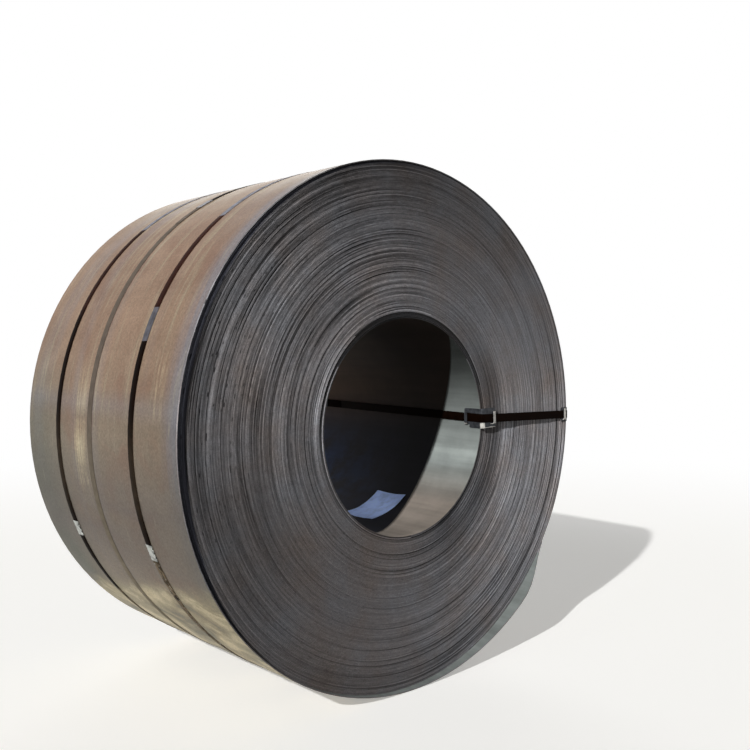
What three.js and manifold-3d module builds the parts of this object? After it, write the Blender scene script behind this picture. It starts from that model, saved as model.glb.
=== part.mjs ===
// Hot-rolled steel strip wound into a coil and bound for the road: three girth straps round
// it, one eye strap through the bore with a sheet-metal edge protector at each of its four
// corners, and a paper label inside the bore. Millimetres, +Z up. The coil lies on its side
// with its axis along Y and its front end at -Y. Radii are measured from the coil's axis and
// angles from +X, counter-clockwise as seen from the front.
import * as THREE from 'three';
import { mergeVertices } from 'three/addons/utils/BufferGeometryUtils.js';
import Module from 'manifold-3d';

const wasm = await Module();
wasm.setup();

// ---- Driving dimensions -------------------------------------------------------------

// The wound strip
const BORE_RADIUS = 381;            // wound on a 762 mm mandrel
const OUTER_RADIUS = 921;
const COIL_WIDTH = 1040;
const STRIP_THICKNESS = 4;
const FACETS = 80;                  // flat sides of every turned piece, one of them underneath

// The ends of the turns, in bands: where a band starts, in turns from the bore or from the
// outside, how far it stands back from the end plane, and how deep the gap before it is.
const FRONT_INNER_BANDS = [
  [5, 0, 6], [15, 2, 0], [19, 0.6, 0], [29, 2.4, 4], [53, 0, 0], [96, 1.2, 4], [110, 0.4, 0],
];
const FRONT_OUTER_BANDS = [[16, 0.2, 8], [8, -1.4, 0], [3, -3.6, 3]];
const BACK_INNER_BANDS = [[22, 1.8, 0], [56, 0, 3], [90, 1.4, 0]];
const BACK_OUTER_BANDS = [[13, 0.4, 4]];
const GAP_WIDTH = 3;                // across the mouth of a gap between two bands

// The innermost turns have sprung apart
const SLACK_TURNS = 2;
const SLACK_PITCH = 7;
const SLACK_GAP_DEPTH = 9;

// The outermost turn has wandered sideways: its edge stands out of the front end, most of
// all just behind the tail of the strip, and settles back over one turn.
const TAIL_ANGLE = -34;             // where the strip ends
const TAIL_STANDOUT = 50;
const TURN_STANDOUT = 4.2;          // what is left of it a whole turn behind the tail
const TAIL_CORNER = 17;             // degrees in which the tail's rounded corner rises
const TAIL_SETTLE = 84;             // degrees in which the stand-out falls to 1/e
const STRIP_END_RAMP = 12;          // degrees in which the step at an end of the strip is gone
const INNER_END_ANGLE = 150;        // where the strip begins, in the bore

// Strapping
const STRAP_WIDTH = 32;
const STRAP_THICKNESS = 1;
const CLEARANCE = 0.3;              // between pieces that touch
const FRONT_STRAP_INSET = 262;      // from the front end to the first girth strap
const MIDDLE_STRAP_SHIFT = 23;      // of the second, backwards from the coil's middle
const BACK_STRAP_INSET = 256;       // from the back end to the third
const GIRTH_STRAPS = [              // place along the coil, and the facet that holds the seal
  { name: 'front', y: FRONT_STRAP_INSET, sealFacet: -35 },
  { name: 'middle', y: COIL_WIDTH / 2 + MIDDLE_STRAP_SHIFT, sealFacet: 27 },
  { name: 'back', y: COIL_WIDTH - BACK_STRAP_INSET, sealFacet: -35 },
];
const LAP_FACETS = 3;               // over which the two ends of a girth strap overlap
const EYE_LAP = 150;                // length over which the eye strap's ends do
const SEAL_LENGTH = 56;
const SEAL_THICKNESS = 1.2;
const CRIMP_SPACING = 16;           // notches pressed into both edges of a seal
const CRIMP_RADIUS = 4;
const CRIMP_DEPTH = 2.4;

// Height over the coil's axis of the eye strap's middle line, at its four corners
const EYE_HEIGHT = { boreFront: 11, rimFront: -1, boreBack: 29, rimBack: 12 };
const EYE_SEAL_GAP = 8;             // from the back protector to the eye strap's seal

// Edge protectors, at the bore and at the rim
const PLATE = 2.5;
const BORE_PLATE_WIDTH = 74;
const BORE_FACE_LEG = 80;           // reach over the end of the coil, from the bore
const BORE_WALL_LEG = 78;           // reach into the bore, from the end of the coil
const LUG_STEP = 25;                // how much shorter that leg is on one side of the strap
const RIM_PLATE_WIDTH = 57;
const RIM_FACE_LEG = 40;            // reach over the end of the coil, from the outside
const RIM_WALL_LEG = 46;            // reach along the outside, from the end of the coil
const LEG_CHAMFER = 6;              // at the free corners of the legs
const FLANGE_DEPTH = 10.5;          // side flanges that hold the face leg off the end

// Keepers: tabs of the protectors' sheet folded over the strap, each with a wide root beside
// one edge of the strap and a narrower finger across it
const FINGER_LENGTH = 13;
const ROOT_LENGTH = 30;
const KEEPER_SIDE_ROOM = 4;         // beside the strap, which crosses a protector aslant
const KEEPER_ROOM = 0.9;            // between the strap and the finger over it
const FINGER_TIP = 3;               // turned down past the strap's far edge
const KEEPER_SETBACK = 3;           // from the end of a leg to its keeper
const RIM_KEEPER_SETBACK = 16;

// Paper label in the bore, following the wall from one facet's edge to another's
const LABEL_THICKNESS = 0.6;
const LABEL_START = 262;            // from the front end
const LABEL_LENGTH = 160;
const LABEL_FIRST_EDGE = -18;
const LABEL_LAST_EDGE = -12;

// ---- Worked out from them -----------------------------------------------------------

const degrees = THREE.MathUtils.degToRad;
const FACET_ANGLE = degrees(360 / FACETS);
const FLATNESS = Math.cos(FACET_ANGLE / 2);       // radius at a facet's middle over its edge's
const STRAP_SEAT = OUTER_RADIUS + CLEARANCE;
const STRAP_OUTSIDE = STRAP_SEAT + STRAP_THICKNESS;
const KEEPER_HEIGHT = CLEARANCE + STRAP_THICKNESS + KEEPER_ROOM;
const STRAP_LIFT = CLEARANCE + STRAP_THICKNESS / 2;  // from a plate to the strap's mid-plane

// A flat plate inside the bore touches it with its two long edges.
const BORE_SEAT = Math.sqrt((BORE_RADIUS * FLATNESS) ** 2 - (BORE_PLATE_WIDTH / 2) ** 2)
  - CLEARANCE;
const BORE_PLATE = BORE_SEAT - PLATE;             // radius of its open side
const FACE_PLATE = CLEARANCE + FLANGE_DEPTH + PLATE;  // its open side's distance from the end
const RIM_PLATE = STRAP_SEAT + PLATE;

// Outside radii of the protectors' bends, as round as the corner of the coil lets them be.
const BORE_BEND = FACE_PLATE;
const RIM_BEND = PLATE + 3 * CLEARANCE;

// From the strap's middle line to a keeper on either side of it.
const KEEPER_SIDE = STRAP_WIDTH / 2 + CLEARANCE + KEEPER_SIDE_ROOM;

// Where the eye strap's seal ends, short of the protector at the back of the bore.
const EYE_SEAL_END = COIL_WIDTH - BORE_WALL_LEG - EYE_SEAL_GAP;

// Angle of the edge between two facets, counted from the one that faces +X.
const facetEdge = (count) => (count + 0.5) * FACET_ANGLE;

// How far the edge of the outermost turn stands out of the front end, at an angle.
function standOut(angle) {
  const turn = 2 * Math.PI;
  const behindTail = (((degrees(TAIL_ANGLE) - angle) % turn) + turn) % turn;
  const rise = THREE.MathUtils.smoothstep(behindTail, 0, degrees(TAIL_CORNER));
  const settle = Math.exp((degrees(TAIL_CORNER) - behindTail) / degrees(TAIL_SETTLE));
  return TURN_STANDOUT + (TAIL_STANDOUT - TURN_STANDOUT) * rise * settle;
}

const RIM_SEAT_FRONT = Math.max(standOut(facetEdge(-2)), standOut(facetEdge(1))) + CLEARANCE;

// ---- Helpers --------------------------------------------------------------------------

function toSolid(geometry) {
  const bare = geometry.clone();
  bare.deleteAttribute('normal');
  bare.deleteAttribute('uv');
  const merged = mergeVertices(bare, 1e-4);
  return new wasm.Manifold(new wasm.Mesh({
    numProp: 3,
    vertProperties: new Float32Array(merged.attributes.position.array),
    triVerts: new Uint32Array(merged.index.array),
  }));
}

function toGeometry(solid) {
  const { vertProperties, triVerts } = solid.getMesh();
  const geometry = new THREE.BufferGeometry();
  geometry.setAttribute('position', new THREE.BufferAttribute(vertProperties, 3));
  geometry.setIndex(new THREE.BufferAttribute(triVerts, 1));
  geometry.computeVertexNormals();
  return geometry;
}

const joined = (geometries) => geometries.map(toSolid).reduce((sum, solid) => sum.add(solid));

// A closed section of [radius, y] points turned about the coil's axis, with a facet underneath.
function turned(section) {
  const closed = [...section, section[0]].map(([radius, y]) => new THREE.Vector2(radius, y));
  return new THREE.LatheGeometry(closed, FACETS, FACET_ANGLE / 2);
}

const shapeOf = (points) => new THREE.Shape(points.map(([x, y]) => new THREE.Vector2(x, y)));

// A [radius, y] outline in the plane through the coil's axis, made as wide as asked along Z.
function across(outline, width, middle = 0) {
  const geometry = new THREE.ExtrudeGeometry(outline, { depth: width, bevelEnabled: false });
  return geometry.translate(0, 0, middle - width / 2);
}

// An [x, z] outline made solid along the coil from y0 to y1.
function alongCoil(points, y0, y1) {
  const outline = shapeOf(points.map(([x, z]) => [x, -z]));
  const geometry = new THREE.ExtrudeGeometry(outline, { depth: y1 - y0, bevelEnabled: false });
  return geometry.rotateX(-Math.PI / 2).translate(0, y0, 0);
}

// A point at an angle round the axis, as [x, z].
const polar = (radius, angle) => [radius * Math.cos(angle), radius * Math.sin(angle)];

// The round that replaces one corner of an outline, as a few points on its arc.
function roundedCorner(before, corner, after, radius) {
  const inward = new THREE.Vector2().subVectors(corner, before).normalize();
  const outward = new THREE.Vector2().subVectors(after, corner).normalize();
  const turn = Math.atan2(inward.cross(outward), inward.dot(outward));
  const steps = Math.max(1, Math.ceil(Math.abs(turn) / degrees(15)));
  const start = corner.clone().addScaledVector(inward, -radius * Math.tan(Math.abs(turn) / 2));
  const side = new THREE.Vector2(-inward.y, inward.x).multiplyScalar(Math.sign(turn) * radius);
  const centre = start.clone().add(side);
  return Array.from({ length: steps + 1 }, (_, step) => (
    start.clone().rotateAround(centre, (turn * step) / steps)));
}

// Matrix that lays a piece made along +X, with its upper side at +Z, where it belongs.
function laid(along, up, at) {
  const side = new THREE.Vector3().crossVectors(up, along).normalize();
  const square = new THREE.Vector3().crossVectors(along, side);
  return new THREE.Matrix4().makeBasis(along, side, square).setPosition(at);
}

// ---- The coil -------------------------------------------------------------------------

// Section points of one end of the coil, from the bore outward. The outward direction is -1
// on the front end and +1 on the back end.
function endSection(innerBands, outerBands, endY, outward) {
  const slack = Array.from({ length: SLACK_TURNS }, (_, turn) => (
    [BORE_RADIUS + (turn + 1) * SLACK_PITCH, turn % 2 ? 0 : 0.6, SLACK_GAP_DEPTH]));
  const outer = outerBands.map(([turns, setback, gap]) => (
    [OUTER_RADIUS - turns * STRIP_THICKNESS, setback, gap]));
  const outerStart = outer[0][0] - 2 * GAP_WIDTH;
  const slackEnd = BORE_RADIUS + SLACK_TURNS * SLACK_PITCH + GAP_WIDTH;
  const inner = innerBands
    .map(([turns, setback, gap]) => [BORE_RADIUS + turns * STRIP_THICKNESS, setback, gap])
    .filter(([radius]) => radius > slackEnd && radius < outerStart);
  const points = [[BORE_RADIUS, endY]];
  let level = 0;
  for (const [radius, setback, gap] of [...slack, ...inner, ...outer]) {
    const half = gap ? GAP_WIDTH / 2 : 0;
    points.push([radius - half, endY - outward * level]);
    if (gap) points.push([radius, endY - outward * (Math.max(level, setback) + gap)]);
    points.push([radius + half, endY - outward * setback]);
    level = setback;
  }
  return { points, level };
}

// What an end of the strip leaves open past it, one strip deep and all along the coil: a wedge
// into the outside (-1) past the tail, or into the bore's wall (+1) where the strip begins.
function pastStripEnd(radius, intoSteel, endAngle) {
  const at = (depth, share) => (
    polar(radius + intoSteel * depth, degrees(endAngle - intoSteel * share * STRIP_END_RAMP)));
  const ramp = [0, 1 / 3, 2 / 3, 1].map((share) => at(STRIP_THICKNESS * (1 - share), share));
  const open = [1, 1 / 2, 0].map((share) => at(-STRIP_THICKNESS, share));
  const beyond = TAIL_STANDOUT + STRIP_THICKNESS;
  return alongCoil([...ramp, ...open], -beyond, COIL_WIDTH + beyond);
}

// Both edges of the outermost turn are drawn at marks far past the ends, and then each of
// their points is brought to its place: out by the stand-out at its angle at the front, and in
// by as much at the back.
function coilBody() {
  const mark = 2 * TAIL_STANDOUT;
  const front = endSection(FRONT_INNER_BANDS, FRONT_OUTER_BANDS, 0, -1);
  const back = endSection(BACK_INNER_BANDS, BACK_OUTER_BANDS, COIL_WIDTH, 1);
  const lastTurn = OUTER_RADIUS - STRIP_THICKNESS;
  const geometry = turned([
    ...front.points,
    [lastTurn, front.level],
    [lastTurn, -mark],
    [OUTER_RADIUS, -mark],
    [OUTER_RADIUS, COIL_WIDTH + mark],
    [lastTurn, COIL_WIDTH + mark],
    [lastTurn, COIL_WIDTH - back.level],
    ...back.points.reverse(),
  ]);
  const vertices = geometry.attributes.position;
  for (let index = 0; index < vertices.count; index += 1) {
    const y = vertices.getY(index);
    const shift = standOut(Math.atan2(vertices.getZ(index), vertices.getX(index)));
    if (y < -mark / 2) vertices.setY(index, -shift);
    if (y > COIL_WIDTH + mark / 2) vertices.setY(index, COIL_WIDTH - shift);
  }
  return toGeometry(toSolid(geometry)
    .subtract(toSolid(pastStripEnd(OUTER_RADIUS, -1, TAIL_ANGLE)))
    .subtract(toSolid(pastStripEnd(BORE_RADIUS, 1, INNER_END_ANGLE))));
}

// ---- Straps and seals -----------------------------------------------------------------

// A ring, with the strap's other end lying on it where the two overlap.
function girthStrap(y, sealFacet) {
  const [start, end] = [y - STRAP_WIDTH / 2, y + STRAP_WIDTH / 2];
  const ring = turned([
    [STRAP_SEAT, start], [STRAP_OUTSIDE, start], [STRAP_OUTSIDE, end], [STRAP_SEAT, end],
  ]);
  const edges = Array.from({ length: LAP_FACETS + 1 }, (_, step) => (
    facetEdge(sealFacet - (LAP_FACETS + 1) / 2 + step)));
  const lap = alongCoil([
    ...edges.map((angle) => polar(STRAP_OUTSIDE - STRAP_THICKNESS / 2, angle)),
    ...edges.reverse().map((angle) => polar(STRAP_OUTSIDE + STRAP_THICKNESS, angle)),
  ], start, end);
  return toGeometry(joined([ring, lap]));
}

// A seal folded over both ends of a strap and crimped at its edges, made along +X over a strap
// whose underside is at Z = 0.
function seal() {
  const inside = STRAP_WIDTH / 2 + CLEARANCE;
  const outside = inside + SEAL_THICKNESS;
  const ceiling = 2 * STRAP_THICKNESS + CLEARANCE;
  const section = shapeOf([
    [-outside, 0], [-inside, 0], [-inside, ceiling], [inside, ceiling], [inside, 0],
    [outside, 0], [outside, ceiling + SEAL_THICKNESS], [-outside, ceiling + SEAL_THICKNESS],
  ]);
  const body = new THREE.ExtrudeGeometry(section, { depth: SEAL_LENGTH, bevelEnabled: false });
  body.rotateX(Math.PI / 2).rotateZ(Math.PI / 2).translate(-SEAL_LENGTH / 2, 0, 0);
  let solid = toSolid(body);
  for (const place of [-CRIMP_SPACING, 0, CRIMP_SPACING]) {
    for (const side of [-1, 1]) {
      const crimp = new THREE.CylinderGeometry(CRIMP_RADIUS, CRIMP_RADIUS, 4 * ceiling, 16);
      crimp.rotateX(Math.PI / 2);
      crimp.translate(place, side * (outside + CRIMP_RADIUS - CRIMP_DEPTH), ceiling);
      solid = solid.subtract(toSolid(crimp));
    }
  }
  return toGeometry(solid);
}

// Corners of the eye strap's mid-plane as [radius, y, bend radius], once round the loop.
function eyeStrapCorners() {
  const bore = BORE_PLATE - STRAP_LIFT;
  const rim = RIM_PLATE + STRAP_LIFT;
  const boreLegEnd = BORE_RADIUS + BORE_FACE_LEG;
  const rimLegEnd = OUTER_RADIUS - RIM_FACE_LEG;
  const frontBore = -FACE_PLATE - STRAP_LIFT;
  const frontRim = -RIM_SEAT_FRONT - PLATE - STRAP_LIFT;
  const backBore = COIL_WIDTH + FACE_PLATE + STRAP_LIFT;
  const backRim = COIL_WIDTH + CLEARANCE + PLATE + STRAP_LIFT;
  return [
    [bore, frontBore, BORE_BEND + STRAP_LIFT], [boreLegEnd, frontBore, 0],
    [rimLegEnd, frontRim, 0], [rim, frontRim, RIM_BEND + STRAP_LIFT],
    [rim, backRim, RIM_BEND + STRAP_LIFT], [rimLegEnd, backRim, 0],
    [boreLegEnd, backBore, 0], [bore, backBore, BORE_BEND + STRAP_LIFT],
  ];
}

// The same loop moved outward by a distance, with its bends rounded.
function eyeStrapLoop(distance) {
  const corners = eyeStrapCorners();
  const count = corners.length;
  const point = (index) => new THREE.Vector2(...corners[(index + count) % count].slice(0, 2));
  const moved = corners.map((_, index) => {
    const before = point(index).sub(point(index - 1)).normalize();
    const after = point(index + 1).sub(point(index)).normalize();
    const outward = new THREE.Vector2(before.y + after.y, -before.x - after.x);
    return point(index).addScaledVector(outward, distance / (1 + before.dot(after)));
  });
  return moved.flatMap((corner, index) => (corners[index][2] === 0 ? [corner] : roundedCorner(
    moved[(index + count - 1) % count], corner, moved[(index + 1) % count],
    corners[index][2] + distance)));
}

// Height of the eye strap's middle line over the axis at a point of its loop.
function eyeHeight(radius, y) {
  const outwards = (radius - BORE_RADIUS) / (OUTER_RADIUS - BORE_RADIUS);
  const along = y / COIL_WIDTH;
  const { lerp } = THREE.MathUtils;
  return lerp(lerp(EYE_HEIGHT.boreFront, EYE_HEIGHT.rimFront, outwards),
    lerp(EYE_HEIGHT.boreBack, EYE_HEIGHT.rimBack, outwards), along);
}

const eyeAngle = (radius, y) => Math.asin(eyeHeight(radius, y) / radius);

// A [radius, y] outline made as wide as the strap, and turned about the coil's axis point by
// point so that it keeps to the eye strap's height.
function alongEyeStrap(outline) {
  const geometry = across(outline, STRAP_WIDTH);
  const vertices = geometry.attributes.position;
  const point = new THREE.Vector3();
  const axis = new THREE.Vector3(0, 1, 0);
  for (let index = 0; index < vertices.count; index += 1) {
    point.fromBufferAttribute(vertices, index);
    point.applyAxisAngle(axis, -eyeAngle(point.x, point.y));
    vertices.setXYZ(index, point.x, point.y, point.z);
  }
  return geometry;
}

// A loop, with the strap's other end lying on it in the bore, where the seal holds the two.
function eyeStrap() {
  const loop = new THREE.Shape(eyeStrapLoop(STRAP_THICKNESS / 2));
  loop.holes.push(new THREE.Path(eyeStrapLoop(-STRAP_THICKNESS / 2)));
  const middle = BORE_PLATE - STRAP_LIFT;
  const top = middle - 1.5 * STRAP_THICKNESS;
  const end = EYE_SEAL_END + EYE_SEAL_GAP / 2;
  const lap = shapeOf([[top, end - EYE_LAP], [middle, end - EYE_LAP], [middle, end], [top, end]]);
  return toGeometry(joined([alongEyeStrap(loop), alongEyeStrap(lap)]));
}

// ---- Edge protectors ------------------------------------------------------------------

// A plate bent once, as its outline: from the end of one leg to the end of the other along
// the open side, and back along the side that lies on the coil.
function bentPlate(firstEnd, corner, secondEnd, bend) {
  const [first, bendAt, second] = [firstEnd, corner, secondEnd]
    .map(([radius, y]) => new THREE.Vector2(radius, y));
  const legs = [first, second].map((end) => new THREE.Vector2().subVectors(end, bendAt));
  const inside = legs.map((leg) => leg.clone().normalize().multiplyScalar(PLATE));
  const innerCorner = bendAt.clone().add(inside[0]).add(inside[1]);
  return new THREE.Shape([
    first, ...roundedCorner(first, bendAt, second, bend), second, second.clone().add(inside[0]),
    ...roundedCorner(second.clone().add(inside[0]), innerCorner, first.clone().add(inside[1]),
      bend - PLATE),
    first.clone().add(inside[1]),
  ]);
}

// A keeper, made with the strap along +X under it, on a plate whose open side is at Z = 0. Its
// root stands at -Y and reaches back from the finger by as much as asked.
function keeper(rootReach) {
  const under = KEEPER_HEIGHT;
  const top = under + PLATE;
  const sunk = -PLATE / 2;
  const foot = KEEPER_SIDE + PLATE;
  const bar = [
    [-KEEPER_SIDE, sunk], [-KEEPER_SIDE, under], [KEEPER_SIDE, under],
    [KEEPER_SIDE, under - KEEPER_ROOM], [KEEPER_SIDE + FINGER_TIP, under - KEEPER_ROOM],
    [KEEPER_SIDE + FINGER_TIP / 2, top], [-KEEPER_SIDE, top],
    [-foot, top - PLATE], [-foot, sunk],
  ];
  const root = [
    [-KEEPER_SIDE, sunk], [-KEEPER_SIDE, top], [-foot, top - PLATE], [-foot, sunk],
  ];
  const made = (section, start, length) => {
    const geometry = new THREE.ExtrudeGeometry(shapeOf(section),
      { depth: length, bevelEnabled: false });
    return geometry.rotateX(Math.PI / 2).rotateZ(Math.PI / 2).translate(start, 0, 0);
  };
  return joined([
    made(bar, -FINGER_LENGTH / 2, FINGER_LENGTH), made(root, -rootReach, ROOT_LENGTH),
  ]);
}

const OUTWARD = new THREE.Vector3(1, 0, 0);
const INWARD = new THREE.Vector3(-1, 0, 0);
const BACKWARD = new THREE.Vector3(0, 1, 0);
const FORWARD = new THREE.Vector3(0, -1, 0);

// A solid made by keeper() or legEnd(), laid on a leg.
function laidOn(solid, along, up, radius, y) {
  return solid.transform(laid(along, up, new THREE.Vector3(radius, y, 0)).toArray());
}

// What is cut off a leg that ends at X = 0: both its corners, and on the +Y side a step.
function legEnd(width, step) {
  const chamfer = () => toSolid(
    new THREE.CylinderGeometry(LEG_CHAMFER, LEG_CHAMFER, 4 * PLATE, 4).rotateX(Math.PI / 2));
  const corners = chamfer().translate([0, -width / 2, 0])
    .add(chamfer().translate([-step, width / 2, 0]));
  if (step === 0) return corners;
  const side = KEEPER_SIDE + FINGER_TIP;
  const notch = toSolid(new THREE.BoxGeometry(2 * step, width, 4 * PLATE));
  return corners.add(notch.translate([0, side + width / 2, 0]));
}

function boreProtector() {
  const faceEnd = BORE_RADIUS + BORE_FACE_LEG;
  const plate = bentPlate([BORE_PLATE, BORE_WALL_LEG], [BORE_PLATE, -FACE_PLATE],
    [faceEnd, -FACE_PLATE], BORE_BEND);
  const flangeStart = BORE_PLATE + BORE_BEND;
  const flange = shapeOf([
    [flangeStart, -CLEARANCE], [flangeStart, -FACE_PLATE + PLATE / 2],
    [faceEnd, -FACE_PLATE + PLATE / 2], [faceEnd, -CLEARANCE],
  ]);
  const flangeMiddle = (BORE_PLATE_WIDTH - PLATE) / 2;
  const sheet = joined([
    across(plate, BORE_PLATE_WIDTH),
    across(flange, PLATE, flangeMiddle),
    across(flange, PLATE, -flangeMiddle),
  ]);
  const setback = KEEPER_SETBACK + FINGER_LENGTH / 2;
  const reach = ROOT_LENGTH - FINGER_LENGTH / 2;
  const wallEnd = legEnd(BORE_PLATE_WIDTH, LUG_STEP);
  return toGeometry(sheet
    .subtract(laidOn(wallEnd, BACKWARD, INWARD, BORE_PLATE, BORE_WALL_LEG))
    .add(laidOn(keeper(reach), OUTWARD, FORWARD, faceEnd - setback, -FACE_PLATE))
    .add(laidOn(keeper(reach), BACKWARD, INWARD, BORE_PLATE, BORE_WALL_LEG - setback)));
}

// The rim's protector, seated a given distance in front of the end plane.
function rimProtector(seat) {
  const faceEnd = OUTER_RADIUS - RIM_FACE_LEG;
  const face = -seat - PLATE;
  const plate = bentPlate(
    [faceEnd, face], [RIM_PLATE, face], [RIM_PLATE, RIM_WALL_LEG], RIM_BEND);
  const corners = legEnd(RIM_PLATE_WIDTH, 0);
  const faceKeeper = faceEnd + RIM_KEEPER_SETBACK + FINGER_LENGTH / 2;
  const wallKeeper = RIM_WALL_LEG - KEEPER_SETBACK - ROOT_LENGTH / 2;
  return toGeometry(toSolid(across(plate, RIM_PLATE_WIDTH))
    .subtract(laidOn(corners, INWARD, FORWARD, faceEnd, face))
    .subtract(laidOn(corners, BACKWARD, OUTWARD, RIM_PLATE, RIM_WALL_LEG))
    .add(laidOn(keeper(ROOT_LENGTH / 2), OUTWARD, FORWARD, faceKeeper, face))
    .add(laidOn(keeper(ROOT_LENGTH / 2), BACKWARD, OUTWARD, RIM_PLATE, wallKeeper)));
}

// ---- Label ----------------------------------------------------------------------------

function boreLabel() {
  const edges = Array.from({ length: LABEL_LAST_EDGE - LABEL_FIRST_EDGE + 1 }, (_, step) => (
    facetEdge(LABEL_FIRST_EDGE + step)));
  const back = BORE_RADIUS - CLEARANCE;
  const outline = [
    ...edges.map((angle) => polar(back, angle)),
    ...edges.reverse().map((angle) => polar(back - LABEL_THICKNESS, angle)),
  ];
  return toGeometry(toSolid(alongCoil(outline, LABEL_START, LABEL_START + LABEL_LENGTH)));
}

// ---- Assembly -------------------------------------------------------------------------

const steel = { color: 0x75685b, roughness: 0.55, metalness: 0.85 };
const strapping = { color: 0x1b140f, roughness: 0.35, metalness: 0.4 };
const galvanised = { color: 0xa8adaa, roughness: 0.45, metalness: 0.9 };
const paper = { color: 0xd5d8dc, roughness: 0.9, metalness: 0 };

const coil = new THREE.Group();

function addPiece(name, geometry, finish) {
  const mesh = new THREE.Mesh(geometry, new THREE.MeshStandardMaterial(finish));
  mesh.name = name;
  coil.add(mesh);
  return mesh;
}

// Lays a mesh made along +X, with its upper side at +Z, where it belongs.
function lay(mesh, along, up, at) {
  const matrix = laid(along, up, at);
  mesh.setRotationFromMatrix(matrix);
  mesh.position.setFromMatrixPosition(matrix);
}

addPiece('coil_body', coilBody(), steel);

for (const { name, y, sealFacet } of GIRTH_STRAPS) {
  addPiece(`girth_strap_${name}`, girthStrap(y, sealFacet), strapping);
  const [x, z] = polar(1, sealFacet * FACET_ANGLE);
  const up = new THREE.Vector3(x, 0, z);
  const at = up.clone().multiplyScalar(STRAP_SEAT * FLATNESS).setY(y);
  lay(addPiece(`girth_seal_${name}`, seal(), galvanised), new THREE.Vector3(z, 0, -x), up, at);
}

// A point of the eye strap's underside in the bore.
function eyeStrapInBore(y) {
  const radius = BORE_PLATE - CLEARANCE;
  const [x, z] = polar(radius, eyeAngle(radius, y));
  return new THREE.Vector3(x, y, z);
}

addPiece('eye_strap', eyeStrap(), strapping);
const eyeSealAt = eyeStrapInBore(EYE_SEAL_END - SEAL_LENGTH / 2);
const eyeSealAlong = eyeStrapInBore(EYE_SEAL_END).sub(eyeSealAt).normalize();
const eyeSealUp = eyeSealAt.clone().setY(0).normalize().negate();
lay(addPiece('eye_strap_seal', seal(), galvanised), eyeSealAlong, eyeSealUp, eyeSealAt);

// The protectors are made for the front end; turned about X they serve at the back. Each is
// turned about the coil's axis to the strap's height at the middle of its face leg.
function addProtector(name, geometry, legMiddle, atBack) {
  const y = atBack ? COIL_WIDTH : 0;
  const mesh = addPiece(name, geometry, galvanised);
  mesh.rotation.set(atBack ? Math.PI : 0, -eyeAngle(legMiddle, y), 0, 'YXZ');
  mesh.position.y = y;
}

const boreLegMiddle = BORE_RADIUS + BORE_FACE_LEG / 2;
const rimLegMiddle = OUTER_RADIUS - RIM_FACE_LEG / 2;
addProtector('protector_bore_front', boreProtector(), boreLegMiddle, false);
addProtector('protector_bore_back', boreProtector(), boreLegMiddle, true);
addProtector('protector_rim_front', rimProtector(RIM_SEAT_FRONT), rimLegMiddle, false);
addProtector('protector_rim_back', rimProtector(CLEARANCE), rimLegMiddle, true);

addPiece('bore_label', boreLabel(), paper);

// The origin is on the floor, under the middle of the whole piece.
const box = new THREE.Box3().setFromObject(coil, true);
const middle = box.getCenter(new THREE.Vector3());
coil.position.set(-middle.x, -middle.y, -box.min.z);

export default coil;
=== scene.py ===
"""Dresses a coil of hot-rolled steel strip: the strip as it is really wound, turn by turn, its
strapping, its edge protectors and its label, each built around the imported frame."""

import math
from functools import partial

import bmesh
import bpy
from bpy.props import FloatProperty, FloatVectorProperty, IntProperty, PointerProperty
from mathutils import Matrix, Vector, noise


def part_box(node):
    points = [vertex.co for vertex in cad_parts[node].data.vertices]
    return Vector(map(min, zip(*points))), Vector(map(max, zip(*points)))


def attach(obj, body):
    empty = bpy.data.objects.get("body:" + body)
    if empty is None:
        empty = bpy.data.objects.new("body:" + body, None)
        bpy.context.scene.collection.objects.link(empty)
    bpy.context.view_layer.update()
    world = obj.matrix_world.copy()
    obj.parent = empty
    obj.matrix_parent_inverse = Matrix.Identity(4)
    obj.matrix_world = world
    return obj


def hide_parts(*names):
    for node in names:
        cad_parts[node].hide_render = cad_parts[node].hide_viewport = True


bl_info = {
    "name": "Steel Strip Coil",
    "version": (1, 0, 0),
    "blender": (4, 5, 0),
    "location": "3D View > Sidebar > Coil",
    "description": "Winds a coil of hot-rolled strip and straps it over its packed frame",
    "category": "Add Mesh",
}

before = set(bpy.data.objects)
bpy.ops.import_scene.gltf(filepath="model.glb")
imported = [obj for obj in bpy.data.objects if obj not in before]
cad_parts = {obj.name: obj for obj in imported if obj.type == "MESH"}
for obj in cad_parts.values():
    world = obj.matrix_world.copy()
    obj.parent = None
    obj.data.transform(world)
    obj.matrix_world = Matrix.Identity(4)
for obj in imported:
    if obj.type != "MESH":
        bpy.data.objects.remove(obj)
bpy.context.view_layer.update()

MM = 0.001
TURN = 2 * math.pi


def axis_place():
    """Where the coil's axis meets its front end plane: the origin that radii and depths are
    measured from."""
    low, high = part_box("coil_body")
    return Vector(((low[0] + high[0]) / 2, high[1] - COIL_WIDTH, (low[2] + high[2]) / 2))


COIL_WIDTH = 1040 * MM
AXIS = axis_place()


# ---- What a user would change -----------------------------------------------------------

def linear(code):
    """An sRGB hex colour as the linear colour that Blender's sockets take."""
    channels = [int(code[place:place + 2], 16) / 255 for place in (1, 3, 5)]
    return (*[c / 12.92 if c <= 0.04045 else ((c + 0.055) / 1.055) ** 2.4 for c in channels], 1)


def length(name, description, default):
    """A length property, given in millimetres and kept in metres."""
    return FloatProperty(name=name, description=description, default=default * MM,
                         subtype="DISTANCE", unit="LENGTH", precision=5)


def turned_by(name, description, default):
    """An angle property, given in degrees and kept in radians."""
    return FloatProperty(name=name, description=description, default=math.radians(default),
                         subtype="ANGLE", unit="ROTATION")


def colour(name, description, default):
    """A colour property, given as an sRGB hex colour."""
    return FloatVectorProperty(name=name, description=description, default=linear(default),
                               size=4, subtype="COLOR", min=0, max=1)


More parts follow.
